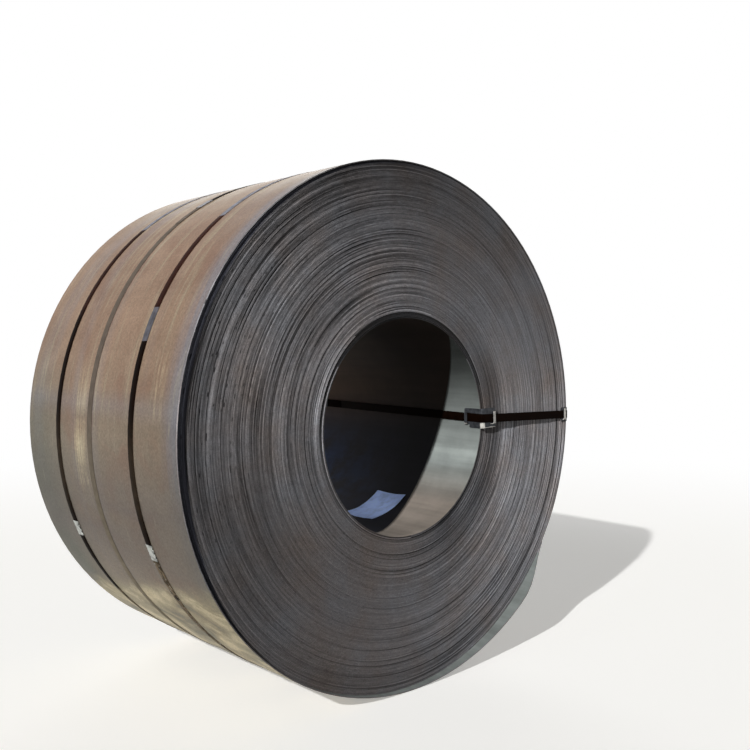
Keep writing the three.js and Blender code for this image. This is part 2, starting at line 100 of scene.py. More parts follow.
class CoilSizes(bpy.types.PropertyGroup):
    """Sizes of the wound strip. The outer radius lies between those of the frame's facets at
    their edges and at their middles."""
    bore_radius: length("Bore radius", "Half of the mandrel that the strip is wound on", 381)
    outer_radius: length("Outer radius", "Of the coil, outside its last turn", 920.2)
    turns: IntProperty(name="Turns", description="Whole turns of strip", default=133, min=10)
    steps: IntProperty(name="Steps", description="Flat steps in one turn", default=120, min=36)
    tail_angle: turned_by("Tail angle", "Where the strip ends on the outside", -34)
    head_angle: turned_by("Head angle", "Where the strip begins in the bore", 150)
    tail_standout: length("Tail stand-out", "How far the last turn stands out of the front", 49.5)
    turn_standout: length("Turn stand-out", "What is left of it one turn behind the tail", 1.5)
    tail_corner: turned_by("Tail corner", "Angle in which the tail's rounded corner rises", 17)
    tail_settle: turned_by("Tail settle", "Angle in which the stand-out falls to 1/e", 58)
    slack: length("Slack", "How far the second turn has sprung from the first", 3)
    wander: length("Wander", "How unevenly the edges of the turns lie", 1.6)


class StrapSizes(bpy.types.PropertyGroup):
    """Sizes of the strapping and of the seals that hold its ends."""
    width: length("Width", "Width of every strap", 32)
    thickness: length("Thickness", "Thickness of every strap", 1)
    clearance: length("Clearance", "Between pieces that touch", 0.3)
    girth_lap: turned_by("Girth lap", "Angle over which a girth strap's ends overlap", 13.5)
    eye_lap: length("Eye lap", "Length over which the eye strap's ends overlap", 150)
    seal_length: length("Seal length", "Along the strap", 56)
    seal_sheet: length("Seal sheet", "Thickness of a seal", 1.2)
    crimp_spacing: length("Crimp spacing", "Between the notches in a seal's edges", 16)
    crimp_radius: length("Crimp radius", "Half of a notch's length", 4)
    crimp_depth: length("Crimp depth", "How far a notch is pressed in", 2.4)


class ProtectorSizes(bpy.types.PropertyGroup):
    """Sizes of the edge protectors. Legs are measured from the bore's or the outside's corner
    with the end of the coil."""
    sheet: length("Sheet", "Thickness of every protector", 2.5)
    bore_width: length("Width at the bore", "Across the strap", 74)
    bore_face: length("Face leg at the bore", "Over the end of the coil", 70)
    bore_wall: length("Wall leg at the bore", "Into the bore", 78)
    lug_step: length("Lug step", "How much shorter the wall leg is on one side", 25)
    flange: length("Flange", "Height that the side flanges hold the face leg off", 10.5)
    rim_width: length("Width at the rim", "Across the strap", 57)
    rim_face: length("Face leg at the rim", "Over the end of the coil", 40)
    rim_wall: length("Wall leg at the rim", "Along the outside", 46)
    leg_corner: length("Leg corner", "Cut off the free corners of the legs", 6)
    finger: length("Finger", "Width of the part of a keeper that crosses the strap", 13)
    root: length("Root", "Width of a keeper beside the strap", 30)
    keeper_room: length("Keeper room", "Between the strap and the finger over it", 0.9)
    side_room: length("Side room", "Beside the strap, which crosses the protector aslant", 4)


class LabelSizes(bpy.types.PropertyGroup):
    """Sizes and place of the paper label in the bore."""
    first_angle: turned_by("First angle", "Its lower end", -78.75)
    last_angle: turned_by("Last angle", "Its upper end", -51.75)
    start: length("Start", "From the front end of the coil", 262)
    length: length("Length", "Along the coil", 160)
    skew: length("Skew", "How much deeper its lower end lies than its upper end", 10)
    paper: length("Paper", "Thickness of its folded paper", 0.5)
    curl: length("Curl", "How far its corners have lifted", 9)


class FinishColours(bpy.types.PropertyGroup):
    """Colours of the finishes."""
    scale_tan: colour("Scale, tan", "Mill scale with a thin bloom of rust", "#977C66")
    scale_brown: colour("Scale, brown", "The same bloom where it is thicker", "#806651")
    scale_olive: colour("Scale, olive", "Mill scale with an oily cast", "#797060")
    scale_blue: colour("Scale, blue", "Mill scale where it is bare and blue", "#777B87")
    scale_pale: colour("Scale, pale", "Rubbed mill scale", "#A79E84")
    scale_red: colour("Scale, red", "Mill scale with a redder bloom", "#8A6654")
    scale_dark: colour("Scale, dark", "A duller band of it, low on the side", "#625A55")
    scale_cream: colour("Scale, cream", "Mill scale with a dusty bloom, low down", "#B8AB86")
    scale_dust: colour("Scale, dust", "Pale dust that sticks to it low down", "#E2D3AE")
    scale_green: colour("Scale, green", "Mill scale with a dark oily film", "#5E6053")
    bore_pale: colour("Bore, edge", "The strip's inner face near its edges", "#8C928F")
    # The bore's brown and blue are laid on past the edge of the key light's shadow: partly darker
    # scale, partly painted shade
    bore_brown: colour("Bore, brown", "The strip's inner face further in", "#43352C")
    bore_blue: colour("Bore, blue", "The same where its scale is blue", "#25242B")
    bore_sheen: colour("Bore, sheen", "A blue sheen on it here and there", "#2E3A55")
    edge_grey: colour("Edge, grey", "Sheared edges of the turns", "#838387")
    edge_brown: colour("Edge, brown", "Edges with a bloom of rust", "#80756F")
    # Blue-black edges near the bore low at the right, and the painted shadow of the standing last
    # turn on the edges
    edge_blue_and_shadow: colour("Edge, blue", "Edges in the lee of the last turn, blue-black", "#42434B")
    bore_tan: colour("Bore, tan", "A bloom of rust low in the bore", "#887B70")
    strapping: colour("Strapping", "Dark painted steel strapping", "#120804")
    worn_paint: colour("Strapping, worn", "Where its paint has gone brown", "#857560")
    # Red-brown where the sun lights the straps' paint, painted in
    sunlit_red_paint: colour("Strapping, red", "Where the sun shows its paint as red-brown", "#38201A")
    dull_strapping: colour("Strapping, dull", "The unpainted middle strap", "#645A51")
    # A painted pale reflection of the sky on the straps
    strap_sky_reflection: colour("Strapping, polished", "Where its wax has a bright shine", "#8C8C95")
    zinc: colour("Zinc", "Galvanised seals", "#C6C9C4")
    # The protectors' dark grey stands for dark surroundings that the shiny sheet mirrors, a
    # painted reflection, and their bright colour below it is a painted highlight
    guard: colour("Guard", "Dull galvanised sheet of the protectors", "#404246")
    guard_highlight: colour("Zinc, worn", "Where the protectors are rubbed bright", "#D2CFC8")
    # The paper is white; this blue is painted sky light, which falls on it in the shade of the
    # bore
    paper: colour("Paper", "Label paper", "#AEC6FA")
    floor: colour("Floor", "Studio floor", "#E9E8E5")
    floor_lit: colour("Floor, bounce", "What the floor gives back to the coil", "#8E8D8A")


class StagePlaces(bpy.types.PropertyGroup):
    """Where the camera stands and how it looks, from the middle of the coil's front end, and
    how strong the lamps are."""
    eye_left: length("Eye, left", "Camera's distance to the left of the axis", 2210.4)
    eye_ahead: length("Eye, ahead", "Camera's distance in front of the front end", 2242.8)
    eye_up: length("Eye, up", "Camera's height over the axis", 289.4)
    yaw: turned_by("Yaw", "Camera's turn to the right from along the axis", 42.44)
    pitch: turned_by("Pitch", "Camera's tilt upwards", -1.94)
    lens: FloatProperty(name="Lens", description="Focal length on a 36 mm sensor, in mm",
                        default=43.392, subtype="DISTANCE_CAMERA", min=1)
    key: FloatProperty(name="Key light", description="From the front, high on the left",
                       default=3.1, min=0)
    fill: FloatProperty(name="Fill light", description="From behind, low on the right",
                        default=0.9, min=0)
    sky: FloatProperty(name="Sky", description="Even light from all round", default=0.1, min=0)
    bore: FloatProperty(name="Bore light", description="A narrow lamp on the label, in watts",
                        default=115, min=0)


# ---- Materials --------------------------------------------------------------------------

def add_node(tree, kind, inputs=(), stops=(), **settings):
    """Adds a node with its settings. Inputs are given in order or by name; each is a value, a
    node, whose first output is linked, or one of a node's outputs."""
    node = tree.nodes.new("ShaderNode" + kind)
    for name, value in settings.items():
        setattr(node, name, value)
    in_order = [socket for socket in node.inputs if socket.enabled]
    for key, value in (inputs.items() if isinstance(inputs, dict) else enumerate(inputs)):
        socket = in_order[key] if isinstance(key, int) else node.inputs[key]
        if isinstance(value, bpy.types.Node):
            value = next(output for output in value.outputs if output.enabled)
        if isinstance(value, bpy.types.NodeSocket):
            tree.links.new(value, socket)
        else:
            socket.default_value = value
    for index, (place, shade) in enumerate(stops):
        elements = node.color_ramp.elements
        element = elements[index] if index < len(elements) else elements.new(place)
        element.position = place
        element.color = (shade, shade, shade, 1)
    return node


def new_tree(owner):
    """Empties the nodes of a material or a world, and gives add_node for them."""
    owner.use_nodes = True
    owner.node_tree.nodes.clear()
    return partial(add_node, owner.node_tree)


def new_material(name):
    """A material without nodes, and what adds nodes to it."""
    material = bpy.data.materials.new(name)
    return material, new_tree(material)


def from_axis(node):
    """Object coordinates in metres from the middle of the front end: all three, the depth and
    height alone, and the angle round the axis in turns, from -0.5 to 0.5."""
    place = node("TexCoord").outputs["Object"]
    moved = node("VectorMath", [place, AXIS], operation="SUBTRACT")
    x, depth, z = node("SeparateXYZ", [moved]).outputs
    radians = node("Math", [z, x], operation="ARCTAN2")
    return moved, depth, z, node("Math", [radians, TURN], operation="DIVIDE")


def angle_band(node, angle, middle, half_width):
    """1 in the middle of a band along the coil, falling to 0 at its sides; in degrees."""
    turned = node("Math", [angle, middle / 360], operation="SUBTRACT")
    nearest = node("Math", [turned, 0.5, -0.5], operation="WRAP")
    away = node("Math", [nearest], operation="ABSOLUTE")
    return node("MapRange", [away, 0, half_width / 360, 1, 0],
                interpolation_type="SMOOTHSTEP")


def cells(size):
    """The scale of a pattern from the size of its cells in millimetres. The sizes are matched to
    the look of each finish by trial, and aren't measured on a real coil."""
    return 1 / (size * MM)


def coloured(node, base, layers=(), tones=()):
    """A base colour with others laid over it, each as (masks, colour) where its masks overlap,
    and the whole then made darker or brighter by each tone."""
    for mask, *others, shade in layers:
        for other in others:
            mask = node("Math", [mask, other], operation="MULTIPLY")
        base = node("Mix", [mask, base, shade], data_type="RGBA")
    for tone in tones:
        base = node("Mix", [1.0, base, tone], data_type="RGBA", blend_type="MULTIPLY")
    return base


# Stripes along the outside: the angle of each one's middle and its half width in degrees, its
# strength, and the colour that it takes
SCALE_STRIPES = (
    (-162, 20, 0.85, "scale_dark"), (174, 4, 0.22, "scale_blue"), (112, 22, 0.35, "scale_pale"),
)

# Dust and oil low on the outside: the parts of their pattern where each shows, with its
# strength there, and its colour
LOW_STAINS = (
    ([(0.3, 0.45), (0.55, 0.8)], "scale_cream"), ([(0.5, 0), (0.64, 0.9)], "scale_dust"),
    ([(0.37, 0.6), (0.45, 0)], "scale_green"),
)

# Scraped patches on the outside: the angle of each one's middle and its half width in degrees,
# and the depth of its middle and its reach to both sides of it in metres
SCRAPES = ((-178, 19, 0.62, 0.08), (170, 12, 0.11, 0.04))


def mill_scale_outside(colours):
    """Hot-rolled mill scale on the outside of the coil: a thin satin oxide skin, tan where a
    bloom of rust has begun on it, olive lower down where it is oily, blue-grey along its front
    edge, and dusty towards the ground. It has a grain, streaks the way it was rolled, scraped
    patches and a few drip marks."""
    material, node = new_material("mill_scale_outside")
    place, depth, height, angle = from_axis(node)
    band = partial(angle_band, node, angle)
    rolled, along, flat = [node("VectorMath", [place, squeeze], operation="MULTIPLY")
                            for squeeze in ((0.05, 1, 0.05), (1, 0.08, 1), (1, 0.8, 2))]
    # The real grain is finer than a millimetre, and is drawn coarser so that it shows.
    cloud, grain, streak, bands, drips, zones, stains = [
        node("TexNoise", {"Vector": way, "Scale": cells(size), "Detail": detail,
                          "Roughness": rough, "Distortion": swirl})
        for way, size, detail, rough, swirl in (
            (place, 200, 6, 0.62, 0.4), (place, 7.692, 4, 0.7, 0), (rolled, 23.81, 4, 0.6, 0),
            (along, 111.1, 3, 0.5, 0), (rolled, 10.526, 2, 0.5, 0), (rolled, 142.86, 2, 0.5, 0),
            (flat, 166.7, 3, 0.55, 0.6))]

    front_edge = node("MapRange", [depth, 0, 0.1, 0.7, 0], interpolation_type="SMOOTHSTEP")
    front_shade = node("Mix", [band(-150, 42), colours.scale_blue, colours.scale_green],
                       data_type="RGBA")
    layers = [
        (node("ValToRGB", [cloud], stops=[(0.36, 0.15), (0.68, 0.85)]), colours.scale_brown),
        (node("MapRange", [height, 0.35, -0.1, 0, 0.8], interpolation_type="SMOOTHSTEP"),
         colours.scale_olive),
        (node("ValToRGB", [zones], stops=[(0.5, 0), (0.66, 0.28)]), colours.scale_blue),
        (node("ValToRGB", [cloud], stops=[(0.5, 0), (0.66, 0.36)]), colours.scale_red),
        (node("MapRange", [depth, 0.7, 0.92]), band(-158, 50), colours.scale_green),
        (front_edge, node("MapRange", [streak, 0.2, 0.5]), front_shade),
    ]
    for middle, half_width, strength, shade in SCALE_STRIPES:
        uneven = node("MapRange", [bands, 0.3, 0.6, 0.4 * strength, strength])
        layers.append((band(middle, half_width), uneven, getattr(colours, shade)))
    down = node("Math", [depth, 0.16, height], operation="MULTIPLY_ADD")
    dusty = node("MapRange", [down, -0.4, -0.49], interpolation_type="SMOOTHSTEP")
    for stops, shade in LOW_STAINS:
        layers.append((dusty, band(-125, 70), node("ValToRGB", [stains], stops=stops),
                       getattr(colours, shade)))
    layers.append((node("ValToRGB", [streak], stops=[(0.54, 0), (0.7, 0.5)]),
                   node("MapRange", [height, -0.1, 0.2]), colours.scale_pale))
    for middle, half_width, at, reach in SCRAPES:
        off = node("Math", [depth, at], operation="SUBTRACT")
        off = node("Math", [off], operation="ABSOLUTE")
        layers.append((node("MapRange", [off, 0, reach, 0.55, 0],
                            interpolation_type="SMOOTHSTEP"),
                       band(middle, half_width),
                       node("ValToRGB", [bands], stops=[(0.4, 0.1), (0.6, 1)]),
                       node("ValToRGB", [drips], stops=[(0.42, 0.1), (0.6, 1)]),
                       colours.scale_dust))
    layers.append((node("ValToRGB", [drips], stops=[(0.7, 0), (0.76, 0.5)]),
                   colours.scale_pale))
    base = coloured(node, colours.scale_tan, layers, [
        node("MapRange", [grain, 0.3, 0.7, 0.72, 1.2]),
        node("MapRange", [cloud, 0.3, 0.7, 1.05, 0.95]),
        node("MapRange", [depth, 0.1, 0.35, 0.95, 1]),
        node("MapRange", [bands, 0.3, 0.7, 0.92, 1.08])])
    node("OutputMaterial", [node("BsdfPrincipled", {
        "Base Color": base, "Metallic": 0.35, "Specular IOR Level": 0.3,
        "Roughness": node("MapRange", {"Value": cloud, "To Min": 0.42, "To Max": 0.6}),
        "Normal": node("Bump", {"Strength": 0.3, "Distance": 0.2 * MM, "Height": grain})})])
    return material


# How far the pale part of the bore reaches in, and the angle where it reaches so far: the edge
# of the key light's shadow in the bore, past which the dark is painted shade
SUNLIT_REACH = 243 * MM
SUNLIT_ANGLE = math.radians(-33)


def mill_scale_inside(colours):
    """The strip's inner face, in the bore and behind the tail: satin and pale grey-green near the
    front, with a bloom of rust low down, a painted glint along it, a painted highlight on its lip
    low down and painted shade high at the upper right; further in, where it cooled slower, dark
    brown to blue and duller, laid on past the edge of the key light's shadow, so that it is
    painted shade there too."""
    material, node = new_material("mill_scale_inside")
    place, depth, height, angle = from_axis(node)
    band = partial(angle_band, node, angle)
    along = node("VectorMath", [place, (1, 0.06, 1)], operation="MULTIPLY")
    streak, cloud = [
        node("TexNoise", {"Vector": way, "Scale": cells(size), "Detail": 5, "Roughness": 0.6})
        for way, size in ((along, 41.67), (place, 111.1))]

    further = node("MapRange", [depth, 0.35, 0.85])
    deep = coloured(node, colours.bore_blue, [
        (node("ValToRGB", [cloud], stops=[(0.42, 0), (0.6, 1)]), further, band(-45, 40),
         colours.bore_sheen),
        (node("MapRange", [height, -0.1, 0.1], interpolation_type="SMOOTHSTEP"),
         colours.bore_brown)], [
        node("MapRange", [further, 0, 1, 0.5, 2.2]),
        node("MapRange", [height, 0.12, 0.32, 1, 0.6])])

    in_bore = node("MapRange", [height, -0.4, -0.45, 1, 0])
    # A painted highlight along the lip of the bore, low down
    lip_highlight = node("MapRange", [depth, 0, 0.03, 1, 0])
    for mask in (in_bore, band(-95, 30)):
        lip_highlight = node("Math", [lip_highlight, mask], operation="MULTIPLY")
    # Tones of the pale part: a painted glint along the bore, a darker band beside it, painted
    # shade high at the upper right near the front, a painted highlight along the lip low down,
    # and duller behind the tail
    pale = coloured(node, colours.bore_pale, [
        (node("MapRange", [height, -0.17, -0.3, 0, 0.8]), in_bore, colours.bore_tan)], [
        node("MapRange", [mask, 0, 1, outside, inside]) for mask, outside, inside in (
            (band(-20, 7), 1, 1.45), (band(-31, 5), 1, 0.85), (band(42, 55), 1, 0.22),
            (lip_highlight, 1, 1.45), (in_bore, 0.84, 1))])

    # Past the edge of the key light's shadow the dark colour is laid over the pale: partly the
    # darker scale further in, partly painted shade
    turned = node("Math", [angle, TURN, -SUNLIT_ANGLE], operation="MULTIPLY_ADD")
    reach = node("Math", [node("Math", [turned], operation="COSINE"), SUNLIT_REACH],
                 operation="MULTIPLY")
    inward = node("MapRange", [node("Math", [depth, reach], operation="SUBTRACT"), 0, 0.005])
    not_back = node("MapRange", [depth, COIL_WIDTH - 0.05, COIL_WIDTH - 0.02, 1, 0.4])
    base = coloured(node, pale, [(inward, not_back, deep)], [
        node("MapRange", [streak, 0.3, 0.7, 0.78, 1.1]),
        node("MapRange", [cloud, 0.3, 0.7, 0.85, 1.1])])
    node("OutputMaterial", [node("BsdfPrincipled", {
        "Base Color": base, "Metallic": 0.1, "Roughness": 0.62, "Specular IOR Level": 0.15})])
    return material


# Stretches of the strip's edge that show darker or brighter: the turns where each begins and
# ends, counted from the bore, and its tone
EDGE_STAINS = (
    (0.4, 0.85, 0.2), (1.2, 1.5, 0.2), (1.6, 1.85, 1.5), (1.85, 2.7, 0.16), (2.7, 3.15, 0.6),
    (3.15, 3.75, 0.16), (3.75, 4.15, 0.65), (4.15, 4.45, 0.15), (4.7, 5.2, 1.8),
    (6.3, 6.7, 1.8), (7.4, 8.0, 1.6), (14.6, 15.4, 0.3), (18.4, 19.2, 0.4), (28.4, 29.5, 0.25),
    (31.6, 32.2, 0.4), (35.3, 36.0, 0.45), (52.1, 52.7, 0.5), (60.2, 60.9, 0.4),
    (77.5, 78.2, 0.45), (95.2, 96.4, 0.25), (104.6, 105.3, 0.4), (108.4, 109.2, 0.35),
    (117.0, 118.4, 0.12), (118.4, 121.0, 0.8), (121.1, 121.6, 0.5), (122.2, 123.2, 1.3),
    (124.1, 124.8, 0.4), (125.3, 125.9, 1.5), (126.3, 127.3, 0.4), (128.8, 130.5, 1.2),
    (131.9, 132.2, 0.4), (132.4, 134, 1.3),
)
LAST_LOOSE_TURN = 10                # beyond it such stretches fade out at the upper right

# Broad parts of the ends that show darker or brighter: the turns over which each grows, from
# -1 to 0 where it takes in all of them, the angle of its middle and its half width in degrees,
# the strength at which it counts in full, and its tone
EDGE_SHADES = (
    (-1, 0, -132, 90, 1, 0.81), (-1, 0, 168, 40, 1, 1.1), (-1, 0, 33, 42, 0.8, 0.87),
    (30, 115, 95, 60, 1, 0.47), (60, 110, 38, 40, 0.7, 0.82), (40, 90, -156, 34, 0.7, 0.72),
    (105, 118, -100, 55, 0.7, 0.78), (29.5, 28, -8, 75, 0.7, 0.5), (16, 6, 160, 55, 1, 1.6),
    # The last one is a painted highlight along the edge of the standing last turn, high on the
    # left
    (132.2, 132.201, 158, 44, 0.5, 3.4),
)

# The painted shadow of the standing last turn on the turns inside it: the turn where it begins
# below the angle where it is widest, and how many turns later it begins above it
SHADOW_ANGLE = 185
SHADOW_BELOW = (45, 123.8, 132)        # degrees below, and the turns at the angle and there
SHADOW_ABOVE = (75, 6)                 # degrees above, and the turns that it begins later
SHADOW_LAST_TURN = 132.1

# Each turn differs from the mean of those so many turns before and after it, because their
# pattern changes by so many of its cells from one turn to the next.
TURNS_AROUND = 1.5
TURN_STEP = 1.3

# Nicks and dashes: how many there are room for along one turn, where they are 15 to 45 mm long,
# how far their pattern changes from one turn to the next, and how ragged they are
NICKS = (130, 2.7, 1)
DASHES = (170, 3.3, 2)


def strip_edges(colours):
    """The sheared edges of the turns, side by side: rough bare steel, dull and neutral grey to
    rust brown, unlike from turn to turn, nearly black in the gaps, nicked here and there, and
    with a painted blue-black shadow of the standing last turn on them."""
    material, node = new_material("strip_edges")
    place, depth, _, angle = from_axis(node)
    band = partial(angle_band, node, angle)
    turn, in_gap = [node("Attribute", attribute_name=name).outputs["Fac"]
                    for name in ("turn", "gap")]
    before, each, after = [node("TexNoise", {
        "Vector": place, "Scale": cells(769.23), "Detail": 2, "Roughness": 0.8,
        "W": node("Math", [turn, TURN_STEP, TURN_STEP * beside], operation="MULTIPLY_ADD")},
        noise_dimensions="4D") for beside in (-TURNS_AROUND, 0, TURNS_AROUND)]
    around = node("Math", [node("Math", [before, after], operation="ADD"), 0.5],
                  operation="MULTIPLY")
    unlike = node("Math", [each, around], operation="SUBTRACT")
    cloud = node("TexNoise", {
        "Vector": place, "Scale": cells(250), "Detail": 6, "Roughness": 0.62})
    # The burr of the sheared edge is finer, and is drawn coarser so that it shows.
    grit = node("TexNoise", {"Vector": place, "Scale": cells(4.762), "Detail": 1})
    nicks, dashes = [node("TexNoise", {"Vector": node("CombineXYZ", [
        node("Math", [turn, in_turn], operation="MULTIPLY"),
        node("Math", [turn, between], operation="MULTIPLY")]), "Scale": 1, "Detail": detail})
        for in_turn, between, detail in (NICKS, DASHES)]

    below = node("Math", [angle, SHADOW_ANGLE / 360], operation="SUBTRACT")
    below = node("Math", [below, 0.5, -0.5], operation="WRAP")
    shadow_from = node("Math", [
        node("MapRange", [below, 0, SHADOW_BELOW[0] / 360, *SHADOW_BELOW[1:]]),
        node("MapRange", [below, -SHADOW_ABOVE[0] / 360, 0, SHADOW_ABOVE[1], 0])], operation="ADD")
    # The painted blue-black shadow of the standing last turn, on the front end only
    in_painted_shadow = (
        node("MapRange", [node("Math", [turn, shadow_from], operation="SUBTRACT"), 0, 0.8]),
        node("MapRange", [band(160, 100), 0, 0.35]),
        node("Math", [turn, SHADOW_LAST_TURN], operation="LESS_THAN"),
        node("Math", [depth, COIL_WIDTH / 2], operation="LESS_THAN"))

    # How unlike the turns look is least at the lower left and the upper right, where the key
    # light runs along them: their difference stands partly for the shadows of the steps between
    # them, which is painted shade
    contrast, nicked, inner = [node("Math", masks, operation="MULTIPLY") for masks in (
        [node("MapRange", [band(-118, 85), 0, 1, 1, 0.2]),
         node("MapRange", [band(47, 62), 0, 0.6, 1, 0.3])],
        [node("MapRange", [turn, 60, 100]), band(165, 60)],
        [node("MapRange", [turn, 8, 48, 1, 0]), band(-62, 44)])]
    bloom = node("Math", [cloud, node("MapRange", [band(-125, 60), 0, 1, 0, 0.08])],
                 operation="ADD")
    layers = [
        (node("ValToRGB", [bloom], stops=[(0.4, 0), (0.72, 0.8)]), colours.edge_brown),
        (*in_painted_shadow, colours.edge_blue_and_shadow),
        (node("MapRange", [inner, 0.8, 1, 0, 0.3]), colours.edge_blue_and_shadow),
    ]
    # Turns unlike each other, brighter at the right by painted reflected light, nicked, gritty,
    # in dashes, darker near the bore low at the right, and nearly black in the gaps
    tones = [
        node("MapRange", [node("Math", [unlike, contrast], operation="MULTIPLY"),
                          -0.2, 0.2, 0.12, 2.12]),
        node("MapRange", [band(-6, 70), 0, 1, 0.95, 1.55]),
        node("MapRange", [nicks, 0.66, 0.72, 1, node("MapRange", [nicked, 0, 1, 0.8, 0.2])]),
        node("MapRange", [grit, 0.3, 0.7, 0.88, 1.12]),
        node("MapRange", [dashes, 0.3, 0.7, node("MapRange", [contrast, 0.3, 1, 0.88, 0.76]),
                          node("MapRange", [contrast, 0.3, 1, 1.12, 1.24])]),
        node("MapRange", [inner, 0, 1, 1, 0.56]),
        node("MapRange", [in_gap, 0.1, 0.7, 1, 0.06]),
    ]
    parts = [(node("MapRange", [turn, first, last]), band(middle, half_width), full, tone)
             for first, last, middle, half_width, full, tone in EDGE_SHADES]
    plain = node("MapRange", [band(-135, 72), 0, 0.8, 1, 0.3])
    tight = node("MapRange", [band(65, 75), 0, 0.6, 1, 0.3])
    for start, end, tone in EDGE_STAINS:
        stretch = node("Math", [turn, (start + end) / 2, (end - start) / 2],
                       operation="COMPARE")
        fading = (plain, tight) if start > LAST_LOOSE_TURN else (plain,)
        parts.append((stretch, *fading, 1, tone))
    for mask, *others, full, tone in parts:
        for other in others:
            mask = node("Math", [mask, other], operation="MULTIPLY")
        tones.append(node("MapRange", [mask, 0, full, 1, tone]))
    node("OutputMaterial", [node("BsdfPrincipled", {
        "Base Color": coloured(node, colours.edge_grey, layers, tones),
        "Metallic": 0.05, "Roughness": 0.7, "Specular IOR Level": 0.05})])
    return material


# Heights over the axis in metres: below which the paint is worn off the front strap and those
# behind it, over which the sun's light on the paint is painted in red-brown, and over which a
# pale reflection of the sky is painted on them
WORN_BELOW = (-0.37, -0.58)
SUNLIT_RED_ABOVE = (0.38, 0.42)
SKY_REFLECTION_ABOVE = (0.704, 0.71)

# Parts of the straps, each by the angle of its middle and its half width in degrees: a browner
# one and one with a painted pale reflection of the sky on the front strap, and the one of the
# middle strap that kept its paint
BROWN_PART = (-172.5, 14)
SKY_REFLECTION_PART = (157.5, 3.5)
PAINTED_PART = (101, 20)


def painted_strapping(colours):
    """Steel strapping, painted dark and waxed: nearly black, red-brown higher up, where the sun's
    light on it is painted in, with a painted pale reflection of the sky over the top of the coil
    and in a patch on the front strap, and worn brown with specks of bare metal low on its side."""
    material, node = new_material("painted_strapping")
    place, depth, height, angle = from_axis(node)
    scuff, specks = [node("TexNoise", {"Vector": place, "Scale": cells(size), "Detail": detail})
                     for size, detail in ((22.22, 5), (6.25, 2))]
    # 0 on the front strap and 1 on those behind it
    behind = node("MapRange", [depth, 0.39, 0.4])
    worn_from = node("MapRange", [behind, 0, 1, *WORN_BELOW])
    low = node("MapRange", [node("Math", [height, worn_from], operation="SUBTRACT"), 0, -0.03])
    base = coloured(node, colours.strapping, [
        (node("MapRange", [angle_band(node, angle, *BROWN_PART), 0, 0.8, 0, 0.11]),
         colours.worn_paint),
        (low, node("MapRange", [scuff, 0.32, 0.5]), colours.worn_paint),
        (low, node("ValToRGB", [specks], stops=[(0.64, 0), (0.7, 1)]), colours.zinc),
        (node("MapRange", [height, *SUNLIT_RED_ABOVE]), node("MapRange", [depth, 0.5, 0.7, 1, 0.65]),
         colours.sunlit_red_paint),
        (node("MapRange", [behind, 0, 1, 0.48, 0]),
         node("Math", [angle, *(part / 360 for part in SKY_REFLECTION_PART)], operation="COMPARE"),
         colours.strap_sky_reflection),
        (node("MapRange", [height, *SKY_REFLECTION_ABOVE]), colours.strap_sky_reflection)], [
        node("ValToRGB", [scuff], stops=[(0.35, 0.6), (0.65, 1)])])
    node("OutputMaterial", [node("BsdfPrincipled", {
        "Base Color": base, "Specular IOR Level": 0.01,
        "Roughness": node("MapRange", {"Value": scuff, "To Min": 0.42, "To Max": 0.6})})])
    return material


def dull_strapping(colours):
    """Steel strapping with little paint left on it: dull grey-brown, hardly unlike the strip,
    and black over the top of the coil, where its paint is still whole."""
    material, node = new_material("dull_strapping")
    place, _, height, angle = from_axis(node)
    scuff = node("TexNoise", {"Vector": place, "Scale": cells(28.57), "Detail": 5})
    base = coloured(node, colours.dull_strapping, [
        (node("MapRange", [height, 0.1, -0.25, 0, 0.8]), colours.scale_olive),
        (node("Math", [angle, *(part / 360 for part in PAINTED_PART)], operation="COMPARE"),
         colours.strapping)], [
        node("MapRange", [scuff, 0.3, 0.7, 0.8, 1.1]),
        node("MapRange", [height, -0.3, -0.55, 1, 1.5])])
    node("OutputMaterial", [node("BsdfPrincipled", {
        "Base Color": base, "Metallic": 0.02, "Roughness": 0.6, "Specular IOR Level": 0.02})])
    return material


def galvanised_sheet(colours):
    """Galvanised sheet: pale and satin, with the faint patches of its spangle and dirt."""
    material, node = new_material("galvanised_sheet")
    place = node("TexCoord").outputs["Object"]
    spangle = node("TexVoronoi", {"Vector": place, "Scale": cells(8.333)}).outputs["Color"]
    dirt = node("TexNoise", {"Vector": place, "Scale": cells(18.18), "Detail": 5})
    base = coloured(node, colours.zinc, tones=[
        node("MapRange", {"Value": spangle, "To Min": 0.82}),
        node("ValToRGB", [dirt], stops=[(0.38, 0.45), (0.56, 1)])])
    node("OutputMaterial", [node("BsdfPrincipled", {
        "Base Color": base, "Metallic": 0.75,
        "Roughness": node("MapRange", {"Value": dirt, "To Min": 0.3, "To Max": 0.5})})])
    return material


def handled_sheet(name, shade, roughness):
    """Galvanised sheet, dull and smeared with handling, in the shade that it is given. The
    protectors' and the eye seal's dark grey is painted reflection of dark surroundings, and the
    protectors' bright copy is a painted highlight.
    """
    material, node = new_material(name)
    place = node("TexCoord").outputs["Object"]
    smear = node("TexNoise", {"Vector": place, "Scale": cells(14.286), "Detail": 5})
    base = node("Mix", [1.0, shade, node("MapRange", [smear, 0.32, 0.62, 0.55, 1.15])],
                data_type="RGBA", blend_type="MULTIPLY")
    node("OutputMaterial", [node("BsdfPrincipled", {
        "Base Color": base, "Metallic": 0.25, "Roughness": roughness,
        "Specular IOR Level": 0.1})])
    return material


